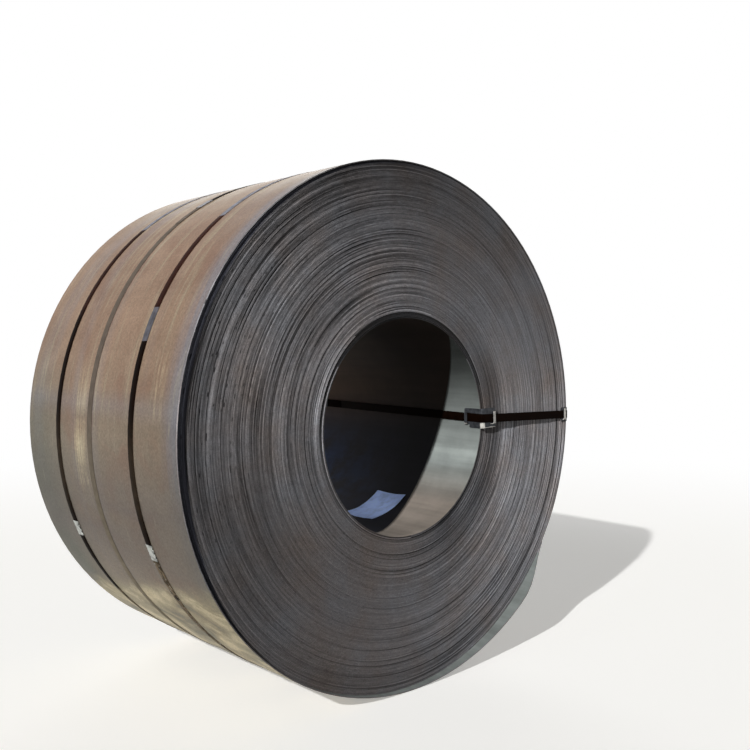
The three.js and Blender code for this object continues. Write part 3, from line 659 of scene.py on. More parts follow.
def label_paper(colours):
    """Matt label paper, blank, with the creases of its folds, tinted blue by painted sky light.
    """
    material, node = new_material("label_paper")
    place = node("TexCoord").outputs["Object"]
    crease = node("TexNoise", {"Vector": place, "Scale": cells(33.33), "Detail": 4})
    base = node("Mix", [1.0, colours.paper, node("MapRange", [crease, 0.35, 0.65, 0.8, 1.12])],
                data_type="RGBA", blend_type="MULTIPLY")
    node("OutputMaterial", [node("BsdfPrincipled", {
        "Base Color": base, "Roughness": 0.85,
        "Normal": node("Bump", {"Strength": 0.4, "Distance": 1 * MM, "Height": crease})})])
    return material


FLOOR_SHOWN = 0.42                  # light that the floor shows of its own near the coil
FLOOR_CLEAR = (2.0, 7.0)            # metres from the coil where it begins and ends to whiten
WHITE = (1, 1, 1, 1)


def seen_rays(node):
    """1 for rays that show the background: to the camera, off gloss and through glass."""
    rays = node("LightPath").outputs
    either = node("Math", [rays["Is Camera Ray"], rays["Is Glossy Ray"]], operation="MAXIMUM")
    return node("Math", [either, rays["Is Transmission Ray"]], operation="MAXIMUM")


def studio_floor(colours):
    """Plain pale studio floor, matt, that whitens away from the coil into the backdrop."""
    material, node = new_material("studio_floor")
    seen = seen_rays(node)
    place = node("TexCoord").outputs["Object"]
    away = node("VectorMath", [place], operation="LENGTH").outputs["Value"]
    clear = node("MapRange", [away, *FLOOR_CLEAR], interpolation_type="SMOOTHSTEP")
    clear = node("Math", [clear, seen], operation="MULTIPLY")
    matt = node("BsdfPrincipled", {
        "Base Color": node("Mix", [seen, colours.floor_lit, colours.floor], data_type="RGBA"),
        "Roughness": 0.9, "Specular IOR Level": 0.1, "Emission Color": colours.floor,
        "Emission Strength": node("Math", [seen, FLOOR_SHOWN], operation="MULTIPLY")})
    white = node("Emission", {"Color": WHITE, "Strength": 1})
    node("OutputMaterial", [node("MixShader", [clear, matt, white])])
    return material


# ---- The wound strip --------------------------------------------------------------------

# The ends of the turns: the radius where a band starts, and how far the band stands back from
# the end plane, both in millimetres
FRONT_BANDS = (
    (401, 0), (441, 2.0), (457, 0.6), (497, 2.4), (593, 0), (765, 1.2), (821, 0.4), (857, 0.2),
    (889, -1.4), (909, -3.6),
)
BACK_BANDS = ((469, 1.8), (605, 0), (741, 1.4), (869, 0.4))
BAND_EASE = 0.3                     # turns in which the strip moves from one band to the next

# The radius where a gap between two turns is open enough to see into, its depth, and its
# depth at the upper right, where the turns lie tighter
FRONT_GAPS = (
    (382, 9, 9), (389, 9, 9), (401, 6, 5), (497, 4, 1.4), (765, 5, 1.1), (855, 9, 1.2),
    (912, 14, 14),
)
BACK_GAPS = ((382, 9, 9), (389, 9, 9), (605, 3, 3), (869, 4, 4), (912, 14, 14))
SHALLOW_GAP = 1.1                   # depth of every other gap
GAP_EASE = 0.12                     # turns in which a gap opens and closes

# Across one pitch: where the strip's edge begins and ends, and where the gap is deepest
EDGE_START = 0.04
EDGE_END = 0.86
GAP_BOTTOM = 0.95

# Turns in which the strip climbs over its own first end, and in which it has come down past
# its last end
HEAD_RAMP = 0.07
TAIL_RAMP = 0.033

# The upper right of the front end, where the turns lie level and tight: where it begins, is
# whole, begins to end and ends, in turns on from the tail's angle
TIGHT_PART = (0.1, 0.2, 0.37, 0.47)
LEVELLED = 0.8                      # share of the bands' steps that is missing there

SLOW_WANDER, QUICK_WANDER = 0.37, 2.3   # waves in one turn of the uneven edge
STANDING_EASE = 0.5                 # turns in which the level edge becomes the standing one
WELD = 0.05 * MM                    # points nearer to each other than this are one

FRONT, FRONT_GAP, BACK_GAP, BACK = range(4)


def smooth(value, low, high):
    """0 below low and 1 above high, eased between."""
    share = min(max((value - low) / (high - low), 0), 1)
    return share * share * (3 - 2 * share)


def head_turn(sizes):
    """The turn where the strip begins. Turns are counted from the tail's angle."""
    return (sizes.head_angle - sizes.tail_angle) % TURN / TURN


def pitch(sizes):
    """From one turn to the next, where they lie tight."""
    wound = sizes.outer_radius - sizes.bore_radius - sizes.slack
    return wound / (sizes.turns + EDGE_END - head_turn(sizes))


def turn_at(sizes, radius):
    """The turn of the strip at a radius beyond the slack turns."""
    return (radius - sizes.bore_radius - sizes.slack) / pitch(sizes) + head_turn(sizes)


def strip_radius(sizes, turn, across):
    """Radius of the strip at a turn, a share of one pitch out from its inner face. The first
    turn lies round on the mandrel, and the last round on the turn before it."""
    wound = turn - head_turn(sizes)
    if wound < 1:
        climb = smooth(wound, 1 - HEAD_RAMP, 1)
    elif turn > sizes.turns - 1:
        climb = wound - turn + sizes.turns - 1 + smooth(turn - sizes.turns + 1, 0, TAIL_RAMP)
    else:
        climb = wound
    return sizes.bore_radius + pitch(sizes) * (climb + across) + sizes.slack * smooth(
        wound, 1, 2)


def band_level(sizes, bands, turn):
    """How far behind the end plane the strip's edge lies at a turn."""
    level = before = 0
    for radius, setback in bands:
        start = turn_at(sizes, radius * MM)
        level += (setback - before) * smooth(turn, start - BAND_EASE, start + BAND_EASE)
        before = setback
    return level * MM


def tightness(turn):
    """1 over the upper right of the front end, where the turns lie level and tight, and 0
    elsewhere."""
    begins, whole, fades, ends = TIGHT_PART
    return smooth(turn % 1, begins, whole) * smooth(-(turn % 1), -ends, -fades)


def gap_depth(sizes, gaps, turn):
    """Depth of the gap that follows a turn."""
    depth = SHALLOW_GAP
    for radius, deep, shallow in gaps:
        open_depth = deep + (shallow - deep) * tightness(turn)
        start = max(turn_at(sizes, radius * MM), 0)
        share = smooth(turn, start - GAP_EASE, start) * smooth(-turn, -start - 1 - GAP_EASE,
                                                               -start - 1)
        depth += (open_depth - SHALLOW_GAP) * share
    return depth * MM


def wander(turn, seed):
    """The uneven lie of the strip's edge, 0 to 1: slow along one turn, different from turn to
    turn."""
    slow = noise.noise(Vector((turn * SLOW_WANDER, seed, 0)))
    quick = noise.noise(Vector((turn * QUICK_WANDER, seed, 5)))
    return min(max(0.45 + 0.6 * slow + 0.6 * quick, 0), 1)


def stand_out(sizes, behind_tail):
    """How far the outermost turn stands out of the front end, at an angle behind its tail."""
    rise = smooth(behind_tail, 0, sizes.tail_corner)
    settle = math.exp((sizes.tail_corner - behind_tail) / sizes.tail_settle)
    return sizes.turn_standout + (sizes.tail_standout - sizes.turn_standout) * rise * settle


def edge_depth(sizes, side, turn):
    """Depth of the strip's edge, or of the gap after it, from the front end plane."""
    if side in (FRONT_GAP, BACK_GAP):
        edge, gaps, inward = (
            (FRONT, FRONT_GAPS, 1) if side == FRONT_GAP else (BACK, BACK_GAPS, -1))
        edges = [inward * edge_depth(sizes, edge, near) for near in (turn, turn + 1)]
        return inward * (max(edges) + gap_depth(sizes, gaps, turn))
    last = smooth(turn, sizes.turns - 1 - STANDING_EASE, sizes.turns - 1)
    standing = stand_out(sizes, (sizes.turns - turn) * TURN)
    if side == FRONT:
        level = (band_level(sizes, FRONT_BANDS, turn) * (1 - LEVELLED * tightness(turn))
                 + wander(turn, 1) * sizes.wander)
        return level * (1 - last) - standing * last
    level = band_level(sizes, BACK_BANDS, turn) + wander(turn, 9) * sizes.wander
    return COIL_WIDTH - level * (1 - last) - standing * last


def section_points(sizes):
    """The strip's section at one angle as (turn, across, side), once round: out along the
    front end and back along the back end."""
    front = ((EDGE_START, FRONT), (EDGE_END, FRONT), (GAP_BOTTOM, FRONT_GAP))
    back = ((GAP_BOTTOM, BACK_GAP), (EDGE_END, BACK), (EDGE_START, BACK))
    turns = range(sizes.turns)
    outward = [(turn, *point) for turn in turns for point in front][:-1]
    return outward + [(turn, *point) for turn in reversed(turns) for point in back][1:]


def about_axis(angle):
    """Rotation about the coil's axis, counter-clockwise seen from the front."""
    return Matrix.Rotation(-angle, 4, "Y")


def spin_out(bm, geom, start, angle, steps, climb):
    """Spins a section about the axis from an angle on, moving it out a little at each step,
    and gives the last section."""
    return bmesh.ops.spin(
        bm, geom=geom, axis=(0, -1, 0), steps=steps, angle=angle,
        dvec=about_axis(start) @ Vector((climb, 0, 0)))["geom_last"]


def wind_strip(sizes):
    """The whole strip as one closed mesh. Its section is spun round the axis and climbs by one
    pitch a turn, so that it ends where it began, one turn further out. The strip's first turn
    is added to the section part of the way round, where the strip begins."""
    bm = bmesh.new()
    slot = bm.verts.layers.int.new("slot")
    turn_layer = bm.verts.layers.float.new("turn")
    gap_layer = bm.verts.layers.float.new("gap")
    points = section_points(sizes)
    climb = pitch(sizes) / sizes.steps
    head_steps = round(head_turn(sizes) * sizes.steps)

    def start_radius(turn, across):
        """Radius of a point of the section where its turn begins."""
        return sizes.bore_radius + pitch(sizes) * (turn + across)

    def spin(section, steps_before, steps):
        """Closes a section, given as vertices by their slots, and spins it."""
        ring = [section[index] for index in sorted(section)]
        edges = [bm.edges.get(pair) or bm.edges.new(pair)
                 for pair in zip(ring, ring[1:] + ring[:1])]
        last = spin_out(bm, ring + edges, steps_before / sizes.steps * TURN,
                        steps / sizes.steps * TURN, steps, climb)
        return {item[slot]: item for item in last if isinstance(item, bmesh.types.BMVert)}

    def add_points(turns, steps_before):
        """Adds the section's points on some turns, and gives them by their slots."""
        added = {}
        for index, (turn, across, side) in enumerate(points):
            if turn in turns:
                radius = start_radius(turn, across) + climb * steps_before
                depth = COIL_WIDTH if side in (BACK, BACK_GAP) else 0
                turned = about_axis(steps_before / sizes.steps * TURN)
                added[index] = bm.verts.new(turned @ Vector((radius, depth, 0)))
                added[index][slot] = index
        return added

    section = spin(add_points(range(1, sizes.turns), 0), 0, head_steps)
    section.update(add_points(range(1), head_steps))
    spin(section, head_steps, sizes.steps - head_steps)

    # Each vertex has climbed as far as it has turned, which tells its place along the strip.
    for vertex in bm.verts:
        turn, across, side = points[vertex[slot]]
        spun_radius = math.hypot(vertex.co.x, vertex.co.z)
        turn += (spun_radius - start_radius(turn, across)) / pitch(sizes)
        share = strip_radius(sizes, turn, across) / spun_radius
        vertex.co = (vertex.co.x * share, edge_depth(sizes, side, turn), vertex.co.z * share)
        vertex[turn_layer] = turn
        vertex[gap_layer] = side in (FRONT_GAP, BACK_GAP)
    bmesh.ops.remove_doubles(bm, verts=bm.verts, dist=WELD)
    bmesh.ops.holes_fill(bm, edges=[edge for edge in bm.edges if edge.is_boundary])
    bmesh.ops.rotate(bm, verts=bm.verts, matrix=about_axis(sizes.tail_angle))
    bmesh.ops.recalc_face_normals(bm, faces=bm.faces)
    bm.verts.layers.int.remove(slot)
    return bm


OUTSIDE, INSIDE, EDGES = range(3)
# Faces show scale that reach further along the coil than this and face so far in or out.
WALL_DEPTH = 20 * MM
WALL_FACING = 0.5


def finish_strip(bm):
    """Gives the walls of the strip their mill scale and leaves the rest as edges."""
    for face in bm.faces:
        depths = [vertex.co.y for vertex in face.verts]
        outward = face.calc_center_median() * Vector((1, 0, 1))
        facing = face.normal.dot(outward.normalized())
        if max(depths) - min(depths) < WALL_DEPTH or abs(facing) < WALL_FACING:
            face.material_index = EDGES
        else:
            face.material_index = OUTSIDE if facing > 0 else INSIDE


# ---- Making objects ---------------------------------------------------------------------

SOFT_EDGE = math.radians(35)        # faces that turn by less from one to the next look like one
SHARP_EDGE = math.radians(60)       # sheets have their edges taken off that turn by more
NEAR = 1e-6                         # metres between places that are one and the same


def new_object(name, data):
    """An object in the scene."""
    item = bpy.data.objects.new(name, data)
    bpy.context.collection.objects.link(item)
    return item


def finished_mesh(name, bm):
    """The mesh of what was made."""
    mesh = bpy.data.meshes.new(name)
    bm.to_mesh(mesh)
    bm.free()
    return mesh


def new_piece(name, bm, materials, slot, *replaced):
    """Makes a finished mesh an object that rides on the coil in place of CAD nodes. The mesh
    comes in the coil's own coordinates and is shaded and moved to its place."""
    for face in bm.faces:
        face.smooth = True
    for edge in bm.edges:
        edge.smooth = len(edge.link_faces) == 2 and edge.calc_face_angle(0) < SOFT_EDGE
    bmesh.ops.translate(bm, verts=bm.verts, vec=AXIS)
    mesh = finished_mesh(name, bm)
    for material in materials:
        mesh.materials.append(material)
    piece = new_object(name, mesh)
    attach(piece, "root")
    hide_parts(*replaced)


def same(one, other):
    """Whether two lengths are equal."""
    return abs(one - other) < NEAR


def wire(bm, points):
    """Joins points in order with edges."""
    verts = [bm.verts.new(point) for point in points]
    return verts, [bm.edges.new(pair) for pair in zip(verts, verts[1:])]


def pull(bm, geom, way, steps=1):
    """Sweeps points and edges straight along a way, in equal steps, and gives the last ones."""
    return bmesh.ops.spin(bm, geom=geom, axis=(0, 0, 1), angle=0, steps=steps,
                          dvec=Vector(way) / steps)["geom_last"]


def round_off(bm, geom, radius, segments, affect="EDGES", **settings):
    """Rounds edges or corners."""
    bmesh.ops.bevel(bm, geom=geom, offset=radius, offset_type="OFFSET", segments=segments,
                    profile=0.5, affect=affect, material=-1, **settings)


def face_way(bm, way):
    """Turns the faces of a sheet to the side that way points to from places on it. Its
    thickness then goes to the other side."""
    bmesh.ops.recalc_face_normals(bm, faces=bm.faces)
    bm.normal_update()
    if sum(way(face.calc_center_median()).dot(face.normal) * face.calc_area()
           for face in bm.faces) < 0:
        bmesh.ops.reverse_faces(bm, faces=bm.faces)


def thicken(bm, thickness, corner):
    """Makes a sheet solid, away from its faces' normals, and takes its sharp edges off."""
    bm.normal_update()
    bmesh.ops.solidify(bm, geom=bm.faces[:], thickness=thickness)
    bm.normal_update()
    sharp = [edge for edge in bm.edges if edge.calc_face_angle(0) > SHARP_EDGE]
    round_off(bm, sharp, corner, 2, clamp_overlap=True)
    bmesh.ops.recalc_face_normals(bm, faces=bm.faces)


def add_mesh(bm, part, matrix):
    """Adds one mesh to another, laid at a place."""
    bmesh.ops.transform(part, matrix=matrix, verts=part.verts)
    mesh = finished_mesh("part", part)
    bm.from_mesh(mesh)
    bpy.data.meshes.remove(mesh)


def laid(along, up, at):
    """The place of a piece made along X with its upper side at +Z."""
    along, up = Vector(along).normalized(), Vector(up)
    side = up.cross(along).normalized()
    return Matrix.Translation(at) @ Matrix((along, side, along.cross(side))).transposed().to_4x4()


class COIL_OT_wind_strip(bpy.types.Operator):
    """Winds the strip and gives it its mill scale and its worn edges"""
    bl_idname = "coil.wind_strip"
    bl_label = "Wind the strip"

    def execute(self, context):
        colours = context.scene.coil_colours
        bm = wind_strip(context.scene.coil_sizes)
        finish_strip(bm)
        new_piece("wound_strip", bm, [
            mill_scale_outside(colours), mill_scale_inside(colours), strip_edges(colours)],
            "mill_scale_steel", "coil_body")
        return {"FINISHED"}


# ---- Girth straps -----------------------------------------------------------------------

GIRTH_SEALS = {"front": -157.5, "middle": 121.5, "back": -157.5}   # angle of each one's seal
STRAP_STEP = math.radians(3)
STRAP_CORNER = 0.25 * MM
LAP_LIFT = 0.12                     # turned while the second end rises onto the first
LAP_RISE = 1.05                     # thicknesses from the first end to the second


def wind_girth_strap(sizes, straps, depth, seal_angle):
    """One strap once round the coil, its second end lying on its first under the seal."""
    bm = bmesh.new()
    start_layer = bm.verts.layers.float.new("start")
    start = seal_angle - straps.girth_lap / 2
    steps = round((TURN + straps.girth_lap) / STRAP_STEP)
    swept = steps * STRAP_STEP
    seat = sizes.outer_radius + straps.clearance
    half = straps.width / 2
    verts, _ = wire(bm, [
        (radius, depth + side, 0) for radius, side in (
            (seat, -half), (seat + straps.thickness, -half),
            (seat + straps.thickness, half), (seat, half))])
    bm.edges.new((verts[-1], verts[0]))
    round_off(bm, verts, STRAP_CORNER, 2, "VERTICES")
    bmesh.ops.rotate(bm, verts=bm.verts, matrix=about_axis(start))
    for vertex in bm.verts:
        vertex[start_layer] = math.hypot(vertex.co.x, vertex.co.z)
    climb = straps.width            # a turn, only to tell afterwards how far a vertex turned
    spin_out(bm, bm.verts[:] + bm.edges[:], start, swept, steps, climb / TURN * STRAP_STEP)
    for vertex in bm.verts:
        spun_radius = math.hypot(vertex.co.x, vertex.co.z)
        turned = (spun_radius - vertex[start_layer]) / climb * TURN
        lift = straps.thickness * LAP_RISE * smooth(turned, TURN - LAP_LIFT, TURN)
        share = (vertex[start_layer] + lift) / spun_radius
        vertex.co = (vertex.co.x * share, vertex.co.y, vertex.co.z * share)
    bmesh.ops.holes_fill(bm, edges=[edge for edge in bm.edges if edge.is_boundary])
    bmesh.ops.recalc_face_normals(bm, faces=bm.faces)
    bm.verts.layers.float.remove(start_layer)
    return bm


# ---- Seals ------------------------------------------------------------------------------

SEAL_BEND = 1.4 * MM
SEAL_STEP = 2 * MM
SEAL_CORNER = 0.3 * MM
FLAT = 1000                         # metres: the bend radius of a seal that lies flat


def fold_seal(straps, bend_radius):
    """A seal folded over both ends of a strap and crimped at its edges, made along X with its
    underside at Z = 0, and bent with the strap."""
    bm = bmesh.new()
    half = straps.width / 2 + straps.clearance + straps.seal_sheet
    top = 2 * straps.thickness + straps.clearance + straps.seal_sheet
    start = -straps.seal_length / 2
    verts, _ = wire(bm, [(start, side, height) for side, height in (
        (-half, 0), (-half, top), (half, top), (half, 0))])
    round_off(bm, verts[1:3], SEAL_BEND, 3, "VERTICES")
    pull(bm, bm.verts[:] + bm.edges[:], (straps.seal_length, 0, 0),
         round(straps.seal_length / SEAL_STEP))
    for vertex in bm.verts:
        x, y, z = vertex.co
        near = min(abs(x - place * straps.crimp_spacing) for place in (-1, 0, 1))
        pinch = 1 - smooth(near, straps.crimp_radius / 3, straps.crimp_radius)
        outer = smooth(abs(y), half / 2, half)
        y -= math.copysign(straps.crimp_depth * pinch * outer, y)
        z -= x * x / 2 / bend_radius
        vertex.co = (x, y, z)
    face_way(bm, lambda place: Vector((0, 0, 1)))
    thicken(bm, straps.seal_sheet, SEAL_CORNER)
    return bm


class COIL_OT_strap_girth(bpy.types.Operator):
    """Straps the coil's girth three times and seals each strap"""
    bl_idname = "coil.strap_girth"
    bl_label = "Strap the girth"

    def execute(self, context):
        sizes, straps = context.scene.coil_sizes, context.scene.coil_straps
        colours = context.scene.coil_colours
        painted, dull = painted_strapping(colours), dull_strapping(colours)
        zinc = galvanised_sheet(colours)
        dirty = handled_sheet("dirty_seal", colours.edge_grey, 0.5)
        for name, seal_degrees in GIRTH_SEALS.items():
            low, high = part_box(f"girth_strap_{name}")
            depth = (low[1] + high[1]) / 2 - AXIS.y
            seal_angle = math.radians(seal_degrees)
            new_piece(f"girth_band_{name}", wind_girth_strap(sizes, straps, depth, seal_angle),
                      [dull if name == "middle" else painted], "strapping",
                      f"girth_strap_{name}")
            seat = sizes.outer_radius + straps.clearance
            up = about_axis(seal_angle) @ Vector((1, 0, 0))
            bm = fold_seal(straps, seat)
            bmesh.ops.transform(bm, verts=bm.verts, matrix=laid(
                (up.z, 0, -up.x), up, up * seat + Vector((0, depth, 0))))
            new_piece(f"crimped_seal_{name}", bm, [dirty if name == "middle" else zinc],
                      "galvanised_steel", f"girth_seal_{name}")
        return {"FINISHED"}


# ---- Eye strap --------------------------------------------------------------------------

# Height over the axis of the eye strap's middle line, at the bore and the rim of each end
EYE_HEIGHT = {"front": (11 * MM, -1 * MM), "back": (29 * MM, 12 * MM)}
SEAL_GAP = 8 * MM                   # from the protector at the back of the bore to the seal
RIM_REACH = math.radians(7)         # to both sides of the strap, where the last turn is cleared
RIM_STRAP_BEND = 3 * MM
STEEL_MIDDLE = Vector((650 * MM, COIL_WIDTH / 2, 0))    # between the bore and the outside
EYE_BEND_STEPS = 5


def bore_seat(sizes, straps, protectors):
    """Radius where a flat plate inside the bore touches it with its long edges."""
    half = protectors.bore_width / 2
    return math.sqrt(sizes.bore_radius ** 2 - half ** 2) - straps.clearance


def bore_strap_seat(sizes, straps, protectors):
    """Radius of the eye strap's outer side in the bore, on its protectors."""
    return bore_seat(sizes, straps, protectors) - protectors.sheet - straps.clearance


def rim_seat(sizes, straps, end):
    """How far in front of an end's plane the protector on its rim sits."""
    if end == "back":
        return straps.clearance
    beside = [(sizes.tail_angle - side * RIM_REACH) % TURN for side in (-1, 1)]
    return max(stand_out(sizes, angle) for angle in beside) + straps.clearance


def eye_angle(sizes, radius, depth):
    """Angle round the axis of the eye strap's middle line at a point of its loop."""
    outwards = (radius - sizes.bore_radius) / (sizes.outer_radius - sizes.bore_radius)
    heights = [bore + (rim - bore) * outwards for bore, rim in EYE_HEIGHT.values()]
    height = heights[0] + (heights[1] - heights[0]) * depth / COIL_WIDTH
    return math.asin(height / radius)


def towards_steel(place):
    """The way from a place to the middle of the wound steel."""
    return (STEEL_MIDDLE - place).normalized()


def edges_at(bm, radius, depth):
    """The edges of a bent sheet that lie across it at one place."""
    return [edge for edge in bm.edges if all(
        same(vertex.co.x, radius) and same(vertex.co.y, depth) for vertex in edge.verts)]


def loop_eye_strap(sizes, straps, protectors):
    """The strap through the bore and over the outside, bent round each protector, its second
    end lying on its first in the bore, where the seal holds the two."""
    bm = bmesh.new()
    bore = bore_strap_seat(sizes, straps, protectors)
    rim = sizes.outer_radius + 2 * straps.clearance + protectors.sheet
    on_bore = 2 * straps.clearance + protectors.flange + protectors.sheet
    on_rim = {end: rim_seat(sizes, straps, end) + protectors.sheet + straps.clearance
              for end in EYE_HEIGHT}
    bore_leg = sizes.bore_radius + protectors.bore_face
    rim_leg = sizes.outer_radius - protectors.rim_face
    wall_end = COIL_WIDTH - protectors.bore_wall
    end = wall_end - SEAL_GAP / 2
    over = straps.thickness * LAP_RISE
    back = COIL_WIDTH + on_bore
    verts, edges = wire(bm, [(radius, depth, -straps.width / 2) for radius, depth in (
        (bore, end), (bore, -on_bore), (bore_leg, -on_bore), (rim_leg, -on_rim["front"]),
        (rim, -on_rim["front"]), (rim, COIL_WIDTH + on_rim["back"]),
        (rim_leg, COIL_WIDTH + on_rim["back"]), (bore_leg, back), (bore, back),
        (bore, wall_end + SEAL_GAP), (bore - over, wall_end), (bore - over, end - straps.eye_lap),
    )])
    pull(bm, verts + edges, (0, 0, straps.width))
    for radius, depth, bend in (
            (bore, -on_bore, on_bore), (bore, back, on_bore),
            (rim, -on_rim["front"], RIM_STRAP_BEND),
            (rim, COIL_WIDTH + on_rim["back"], RIM_STRAP_BEND)):
        round_off(bm, edges_at(bm, radius, depth), bend, EYE_BEND_STEPS)
    face_way(bm, towards_steel)
    for vertex in bm.verts:
        angle = eye_angle(sizes, vertex.co.x, vertex.co.y)
        vertex.co = about_axis(angle) @ vertex.co
    thicken(bm, straps.thickness, STRAP_CORNER)
    return bm


class COIL_OT_strap_eye(bpy.types.Operator):
    """Straps the coil through its bore and seals the strap"""
    bl_idname = "coil.strap_eye"
    bl_label = "Strap the eye"

    def execute(self, context):
        scene = context.scene
        sizes, straps, protectors = scene.coil_sizes, scene.coil_straps, scene.coil_protectors
        new_piece("eye_band", loop_eye_strap(sizes, straps, protectors),
                  [painted_strapping(scene.coil_colours)], "strapping", "eye_strap")

        radius = bore_strap_seat(sizes, straps, protectors)
        ends = []
        for short in (straps.seal_length / 2, 0):
            depth = COIL_WIDTH - protectors.bore_wall - SEAL_GAP - short
            ends.append(about_axis(eye_angle(sizes, radius, depth)) @ Vector(
                (radius, depth, 0)))
        middle = ends[0]
        inward = -Vector((middle.x, 0, middle.z)).normalized()
        bm = fold_seal(straps, FLAT)
        bmesh.ops.transform(bm, verts=bm.verts, matrix=laid(ends[1] - middle, inward, middle))
        # The eye seal takes the protectors' dark grey, which is painted reflection of dark
        # surroundings
        new_piece("crimped_seal_eye", bm,
                  [handled_sheet("dull_seal", scene.coil_colours.guard, 0.45)],
                  "galvanised_steel", "eye_strap_seal")
        return {"FINISHED"}


# ---- Edge protectors --------------------------------------------------------------------

KEEPER_SETBACK = 3 * MM             # from the end of a leg to its keeper
RIM_KEEPER_SETBACK = 16 * MM
FINGER_TIP = 3 * MM                 # turned down past the strap's far edge
SHEET_CORNER = 0.4 * MM
KEEPER_BEND = 2 * MM
RIM_BEND = 1.2 * MM
BEND_STEPS = 3
BORE_BEND_STEPS = 5

BENT = 0.992                        # a face is on a bend if no axis has more of its normal
BROAD = 1 * MM                      # and if its shortest edge is longer


def keeper_side(straps, protectors):
    """From the strap's middle line to a keeper's wall."""
    return straps.width / 2 + straps.clearance + protectors.side_room


def fold_keeper(straps, protectors, root_reach):
    """A tab folded up beside the strap and over it, made with the strap along X and the
    plate's open side at Z = 0. Its wide root stands at -Y."""
    bm = bmesh.new()
    side = keeper_side(straps, protectors)
    under = straps.clearance + straps.thickness + protectors.keeper_room
    half = protectors.finger / 2
    verts, edges = wire(bm, [(-root_reach, y, z) for y, z in (
        (-side, -protectors.sheet / 2), (-side, under), (side, under),
        (side + FINGER_TIP, under - protectors.keeper_room))])
    geom = verts + edges
    stations = sorted({-root_reach, -half, half, protectors.root - root_reach})
    for before, after in zip(stations, stations[1:]):
        geom = pull(bm, geom, (after - before, 0, 0))
    outside = [face for face in bm.faces if abs(face.calc_center_median().x) > half
               and face.calc_center_median().y > -side + NEAR]
    bmesh.ops.delete(bm, geom=outside, context="FACES")
    bends = [edge for edge in bm.edges if len(edge.link_faces) == 2 and all(
        same(abs(vertex.co.y), side) and same(vertex.co.z, under) for vertex in edge.verts)]
    round_off(bm, bends, KEEPER_BEND, BEND_STEPS)
    face_way(bm, lambda place: Vector((0, 0, -1)))
    thicken(bm, protectors.sheet, SHEET_CORNER)
    return bm


def add_keeper(bm, straps, protectors, root_reach, along, up, at):
    """Adds a keeper where its finger's middle line crosses the strap's."""
    add_mesh(bm, fold_keeper(straps, protectors, root_reach), laid(along, up, Vector(at)))


def cut_corners(bm, places, cut):
    """Takes the corners off a sheet, given by their places as (radius, depth, height)."""
    corners = [vertex for vertex in bm.verts if any(
        (vertex.co - Vector(place)).length < NEAR for place in places)]
    round_off(bm, corners, cut, 2, "VERTICES")


def bend_bore_protector(sizes, straps, protectors):
    """The protector over the corner between the bore and the front end: a plate bent round
    it, its wall leg shorter below the strap, its face leg held off the end by side flanges,
    with a keeper on each leg."""
    bm = bmesh.new()
    seat = bore_seat(sizes, straps, protectors)
    face = -straps.clearance - protectors.flange
    face_end = sizes.bore_radius + protectors.bore_face
    wall = protectors.bore_wall
    lug = wall - protectors.lug_step
    half = protectors.bore_width / 2
    side = keeper_side(straps, protectors) + FINGER_TIP
    geom = sum(wire(bm, [(radius, depth, -half) for radius, depth in (
        (seat, wall), (seat, lug), (seat, face), (face_end, face))]), [])
    for reach in (half - side, half + side):
        geom = pull(bm, geom, (0, 0, reach))
    below = [item for item in bm.faces if item.calc_center_median().y > lug
             and item.calc_center_median().z < -side]
    bmesh.ops.delete(bm, geom=below, context="FACES")
    round_off(bm, edges_at(bm, seat, face), -face, BORE_BEND_STEPS)
    for vertex in bm.verts:
        if same(vertex.co.y, face) and abs(vertex.co.z) > half - NEAR:
            vertex.co.z -= math.copysign(protectors.sheet, vertex.co.z)
    flange_edges = [edge for edge in bm.edges if edge.is_boundary and all(
        same(vertex.co.y, face) for vertex in edge.verts)
        and same(edge.verts[0].co.z, edge.verts[1].co.z)]
    flanges = bmesh.ops.extrude_edge_only(bm, edges=flange_edges)["geom"]
    bmesh.ops.translate(bm, vec=(0, protectors.flange, 0), verts=[
        item for item in flanges if isinstance(item, bmesh.types.BMVert)])
    round_off(bm, [edge for edge in flange_edges if edge.is_valid], KEEPER_BEND, BEND_STEPS)
    cut_corners(bm, [(seat, wall, half), (seat, lug, -half)], protectors.leg_corner)
    face_way(bm, towards_steel)
    thicken(bm, protectors.sheet, SHEET_CORNER)

    setback = KEEPER_SETBACK + protectors.finger / 2
    reach = protectors.root - protectors.finger / 2
    add_keeper(bm, straps, protectors, reach, (1, 0, 0), (0, -1, 0),
               (face_end - setback, face - protectors.sheet, 0))
    add_keeper(bm, straps, protectors, reach, (0, 1, 0), (-1, 0, 0),
               (seat - protectors.sheet, wall - setback, 0))
    return bm


def bend_rim_protector(sizes, straps, protectors, end):
    """The protector over the corner between the outside and an end, made for the front: a
    plate bent sharply, with a keeper on each leg."""
    bm = bmesh.new()
    seat = sizes.outer_radius + straps.clearance
    face = -rim_seat(sizes, straps, end)
    face_end = sizes.outer_radius - protectors.rim_face
    wall = protectors.rim_wall
    half = protectors.rim_width / 2
    verts, edges = wire(bm, [
        (face_end, face, -half), (seat, face, -half), (seat, wall, -half)])
    pull(bm, verts + edges, (0, 0, 2 * half))
    round_off(bm, edges_at(bm, seat, face), RIM_BEND, BEND_STEPS)
    cut_corners(bm, [(*place, side) for place in ((face_end, face), (seat, wall))
                     for side in (-half, half)], protectors.leg_corner)
    face_way(bm, towards_steel)
    thicken(bm, protectors.sheet, SHEET_CORNER)

    reach = protectors.root / 2
    add_keeper(bm, straps, protectors, reach, (1, 0, 0), (0, -1, 0),
               (face_end + RIM_KEEPER_SETBACK + protectors.finger / 2,
                face - protectors.sheet, 0))
    add_keeper(bm, straps, protectors, reach, (0, 1, 0), (1, 0, 0),
               (seat + protectors.sheet, wall - KEEPER_SETBACK - reach, 0))
    return bm


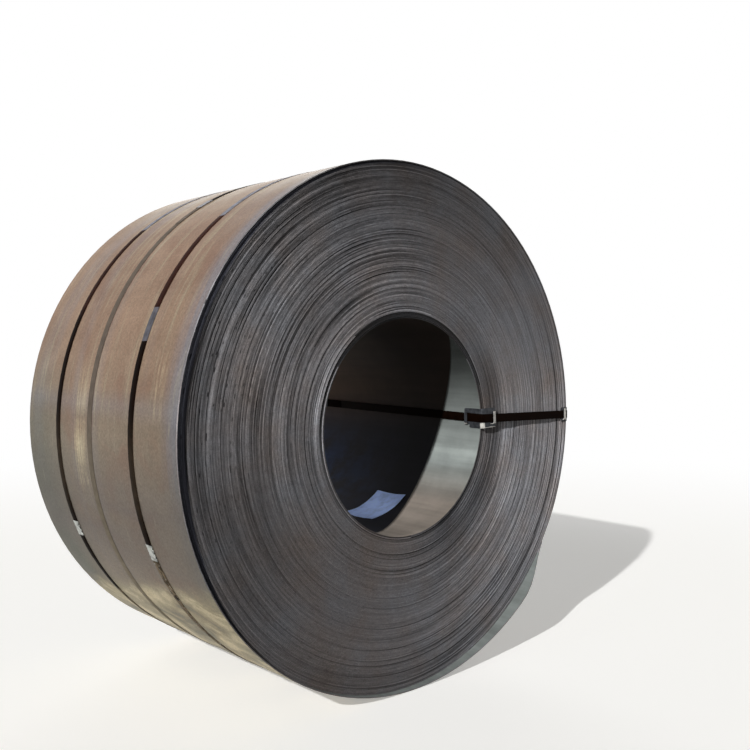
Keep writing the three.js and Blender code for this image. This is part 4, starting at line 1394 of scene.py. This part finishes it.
def mark_guard_highlights(bm, straps, protectors):
    """Gives a protector its second finish, a painted highlight: on its bends below the strap and
    on the keeper that crosses the strap on the end of the coil."""
    bm.normal_update()
    front = min(vertex.co.y for vertex in bm.verts)
    bmesh.ops.bisect_plane(bm, geom=bm.verts[:] + bm.edges[:] + bm.faces[:],
                           plane_co=(0, 0, -straps.width / 2), plane_no=(0, 0, 1))
    for face in bm.faces:
        place = face.calc_center_median()
        bent = max(abs(share) for share in face.normal) < BENT
        broad = min(edge.calc_length() for edge in face.edges) > BROAD
        below = place.z < -straps.width / 2
        outermost = place.y < front + protectors.sheet / 2
        face.material_index = (bent and broad and below) or outermost


class COIL_OT_bend_protectors(bpy.types.Operator):
    """Bends the four edge protectors under the eye strap"""
    bl_idname = "coil.bend_protectors"
    bl_label = "Bend the protectors"

    def execute(self, context):
        scene = context.scene
        sizes, straps, protectors = scene.coil_sizes, scene.coil_straps, scene.coil_protectors
        colours = scene.coil_colours
        # The dark sheet is painted reflection of dark surroundings, and the bright one, on the
        # bends below the strap and on the keeper on the end, a painted highlight
        sheets = [handled_sheet("guard_sheet", colours.guard, 0.45),
                  handled_sheet("guard_sheet_rubbed", colours.guard_highlight, 0.3)]
        for end in EYE_HEIGHT:
            depth = COIL_WIDTH if end == "back" else 0
            for corner, middle in (
                    ("bore", sizes.bore_radius + protectors.bore_face / 2),
                    ("rim", sizes.outer_radius - protectors.rim_face / 2)):
                if corner == "bore":
                    bm = bend_bore_protector(sizes, straps, protectors)
                else:
                    bm = bend_rim_protector(sizes, straps, protectors, end)
                place = about_axis(eye_angle(sizes, middle, depth))
                if end == "back":
                    place @= Matrix.Translation((0, depth, 0)) @ Matrix.Rotation(
                        math.pi, 4, "X")
                mark_guard_highlights(bm, straps, protectors)
                bmesh.ops.transform(bm, matrix=place, verts=bm.verts)
                new_piece(f"{corner}_guard_{end}", bm, sheets, "galvanised_steel",
                          f"protector_{corner}_{end}")
        return {"FINISHED"}


# ---- Label ------------------------------------------------------------------------------

LABEL_CELLS = 18                    # along each side
CORNER_LIFTS = ((0.35, 1.0), (0.8, 0.5))    # how far each corner has curled off the wall
CURL_PART = (1.15, 2.1)             # where it begins and would be whole; the corners are at 2
RIPPLE = 0.5 * MM
RIPPLE_WAVES = 2


def paste_label(sizes, straps, label):
    """A sheet of paper on the wall of the bore, slightly askew, with its corners curled."""
    bm = bmesh.new()
    bmesh.ops.create_grid(bm, x_segments=LABEL_CELLS, y_segments=LABEL_CELLS, size=1)
    for vertex in bm.verts:
        around, along = vertex.co.x, vertex.co.y
        angle = label.first_angle + (label.last_angle - label.first_angle) * (around + 1) / 2
        lifts = CORNER_LIFTS[around > 0][along > 0]
        lift = label.curl * lifts * smooth(abs(around) + abs(along), *CURL_PART)
        ripple = RIPPLE * (1 + noise.noise(
            Vector((around * RIPPLE_WAVES, along * RIPPLE_WAVES, 3))))
        radius = sizes.bore_radius - straps.clearance - lift - ripple * abs(along)
        depth = label.start + label.length * (along + 1) / 2 - label.skew * around
        vertex.co = about_axis(angle) @ Vector((radius, depth, 0))
    face_way(bm, lambda place: place * Vector((1, 0, 1)))
    bmesh.ops.solidify(bm, geom=bm.faces[:], thickness=label.paper)
    bmesh.ops.recalc_face_normals(bm, faces=bm.faces)
    return bm


class COIL_OT_paste_label(bpy.types.Operator):
    """Pastes the blank label inside the bore"""
    bl_idname = "coil.paste_label"
    bl_label = "Paste the label"

    def execute(self, context):
        scene = context.scene
        new_piece("curled_label",
                  paste_label(scene.coil_sizes, scene.coil_straps, scene.coil_label),
                  [label_paper(scene.coil_colours)], "label_paper", "bore_label")
        return {"FINISHED"}


# ---- Stage ------------------------------------------------------------------------------

# The ways that the two suns shine, and how broad each looks
KEY_TRAVEL = Vector((0.802, 0.292, -0.521))
KEY_BREADTH = math.radians(1.2)
FILL_TRAVEL = Vector((-0.6, -0.76, -0.24))
FILL_BREADTH = math.radians(40)

# The narrow lamp on the label: its place from the middle of the front end, its cone, how soft
# the cone's edge is, and the lamp's radius in metres
BORE_LIGHT_PLACE = Vector((-0.9, -1.5, 0.9))
BORE_LIGHT_CONE = math.radians(9)
BORE_LIGHT_EDGE = 0.7
BORE_LIGHT_RADIUS = 0.15

SENSOR = 36                         # millimetres, the width that the lens is given for
FLOOR_SIZE = 40


def add_lamp(name, kind, strength, travel):
    """A lamp that shines along a way, and its own settings."""
    lamp = bpy.data.lights.new(name, kind)
    lamp.energy = strength
    item = new_object(name, lamp)
    item.rotation_euler = travel.to_track_quat("-Z", "Y").to_euler()
    return item, lamp


def add_sun(name, strength, travel, breadth):
    """A soft light from far away."""
    _, lamp = add_lamp(name, "SUN", strength, travel)
    lamp.angle = breadth


def add_bore_light(sizes, label, strength):
    """A narrow soft lamp into the bore, so that its label isn't lost in the dark."""
    middle = about_axis((label.first_angle + label.last_angle) / 2) @ Vector(
        (sizes.bore_radius, label.start + label.length / 2, 0))
    item, lamp = add_lamp("bore_light", "SPOT", strength, middle - BORE_LIGHT_PLACE)
    item.location = AXIS + BORE_LIGHT_PLACE
    lamp.spot_size = BORE_LIGHT_CONE
    lamp.spot_blend = BORE_LIGHT_EDGE
    lamp.shadow_soft_size = BORE_LIGHT_RADIUS


def add_world(strength):
    """Even pale light from all round, and a white backdrop."""
    world = bpy.data.worlds.new("studio")
    bpy.context.scene.world = world
    node = new_tree(world)
    lit, white = [node("Background", {"Color": WHITE, "Strength": shown})
                  for shown in (strength, 1)]
    node("OutputWorld", [node("MixShader", [seen_rays(node), lit, white])])


class COIL_OT_set_stage(bpy.types.Operator):
    """Sets the camera, the floor and the lights"""
    bl_idname = "coil.set_stage"
    bl_label = "Set the stage"

    def execute(self, context):
        places = context.scene.coil_stage
        camera_data = bpy.data.cameras.new("camera")
        camera_data.sensor_width = SENSOR
        camera_data.lens = places.lens
        camera = new_object("camera", camera_data)
        camera.location = AXIS + Vector((-places.eye_left, -places.eye_ahead, places.eye_up))
        camera.rotation_euler = (math.pi / 2 + places.pitch, 0, -places.yaw)
        context.scene.camera = camera

        bm = bmesh.new()
        bmesh.ops.create_grid(bm, size=FLOOR_SIZE)
        floor = new_object("floor", finished_mesh("floor", bm))
        floor.data.materials.append(studio_floor(context.scene.coil_colours))

        add_sun("key_light", places.key, KEY_TRAVEL, KEY_BREADTH)
        add_sun("fill_light", places.fill, FILL_TRAVEL, FILL_BREADTH)
        add_bore_light(context.scene.coil_sizes, context.scene.coil_label, places.bore)
        add_world(places.sky)
        context.scene.view_settings.view_transform = "Standard"
        return {"FINISHED"}


# ---- The add-on -------------------------------------------------------------------------

OPERATORS = (
    COIL_OT_wind_strip, COIL_OT_strap_girth, COIL_OT_strap_eye, COIL_OT_bend_protectors,
    COIL_OT_paste_label, COIL_OT_set_stage,
)


class COIL_PT_panel(bpy.types.Panel):
    """Lists the steps that make the coil"""
    bl_idname = "COIL_PT_panel"
    bl_label = "Steel strip coil"
    bl_space_type = "VIEW_3D"
    bl_region_type = "UI"
    bl_category = "Coil"

    def draw(self, context):
        for operator in OPERATORS:
            self.layout.operator(operator.bl_idname)


GROUPS = {
    "coil_sizes": CoilSizes, "coil_straps": StrapSizes, "coil_protectors": ProtectorSizes,
    "coil_label": LabelSizes, "coil_colours": FinishColours, "coil_stage": StagePlaces,
}


def register():
    for group in GROUPS.values():
        bpy.utils.register_class(group)
    for name, group in GROUPS.items():
        setattr(bpy.types.Scene, name, PointerProperty(type=group))
    for operator in (*OPERATORS, COIL_PT_panel):
        bpy.utils.register_class(operator)


def unregister():
    for operator in reversed((*OPERATORS, COIL_PT_panel)):
        bpy.utils.unregister_class(operator)
    for name in GROUPS:
        delattr(bpy.types.Scene, name)
    for group in reversed(tuple(GROUPS.values())):
        bpy.utils.unregister_class(group)


def main():
    """Runs every step in order."""
    register()
    for operator in OPERATORS:
        category, name = operator.bl_idname.split(".")
        getattr(getattr(bpy.ops, category), name)()


if __name__ == "__main__":
    main()
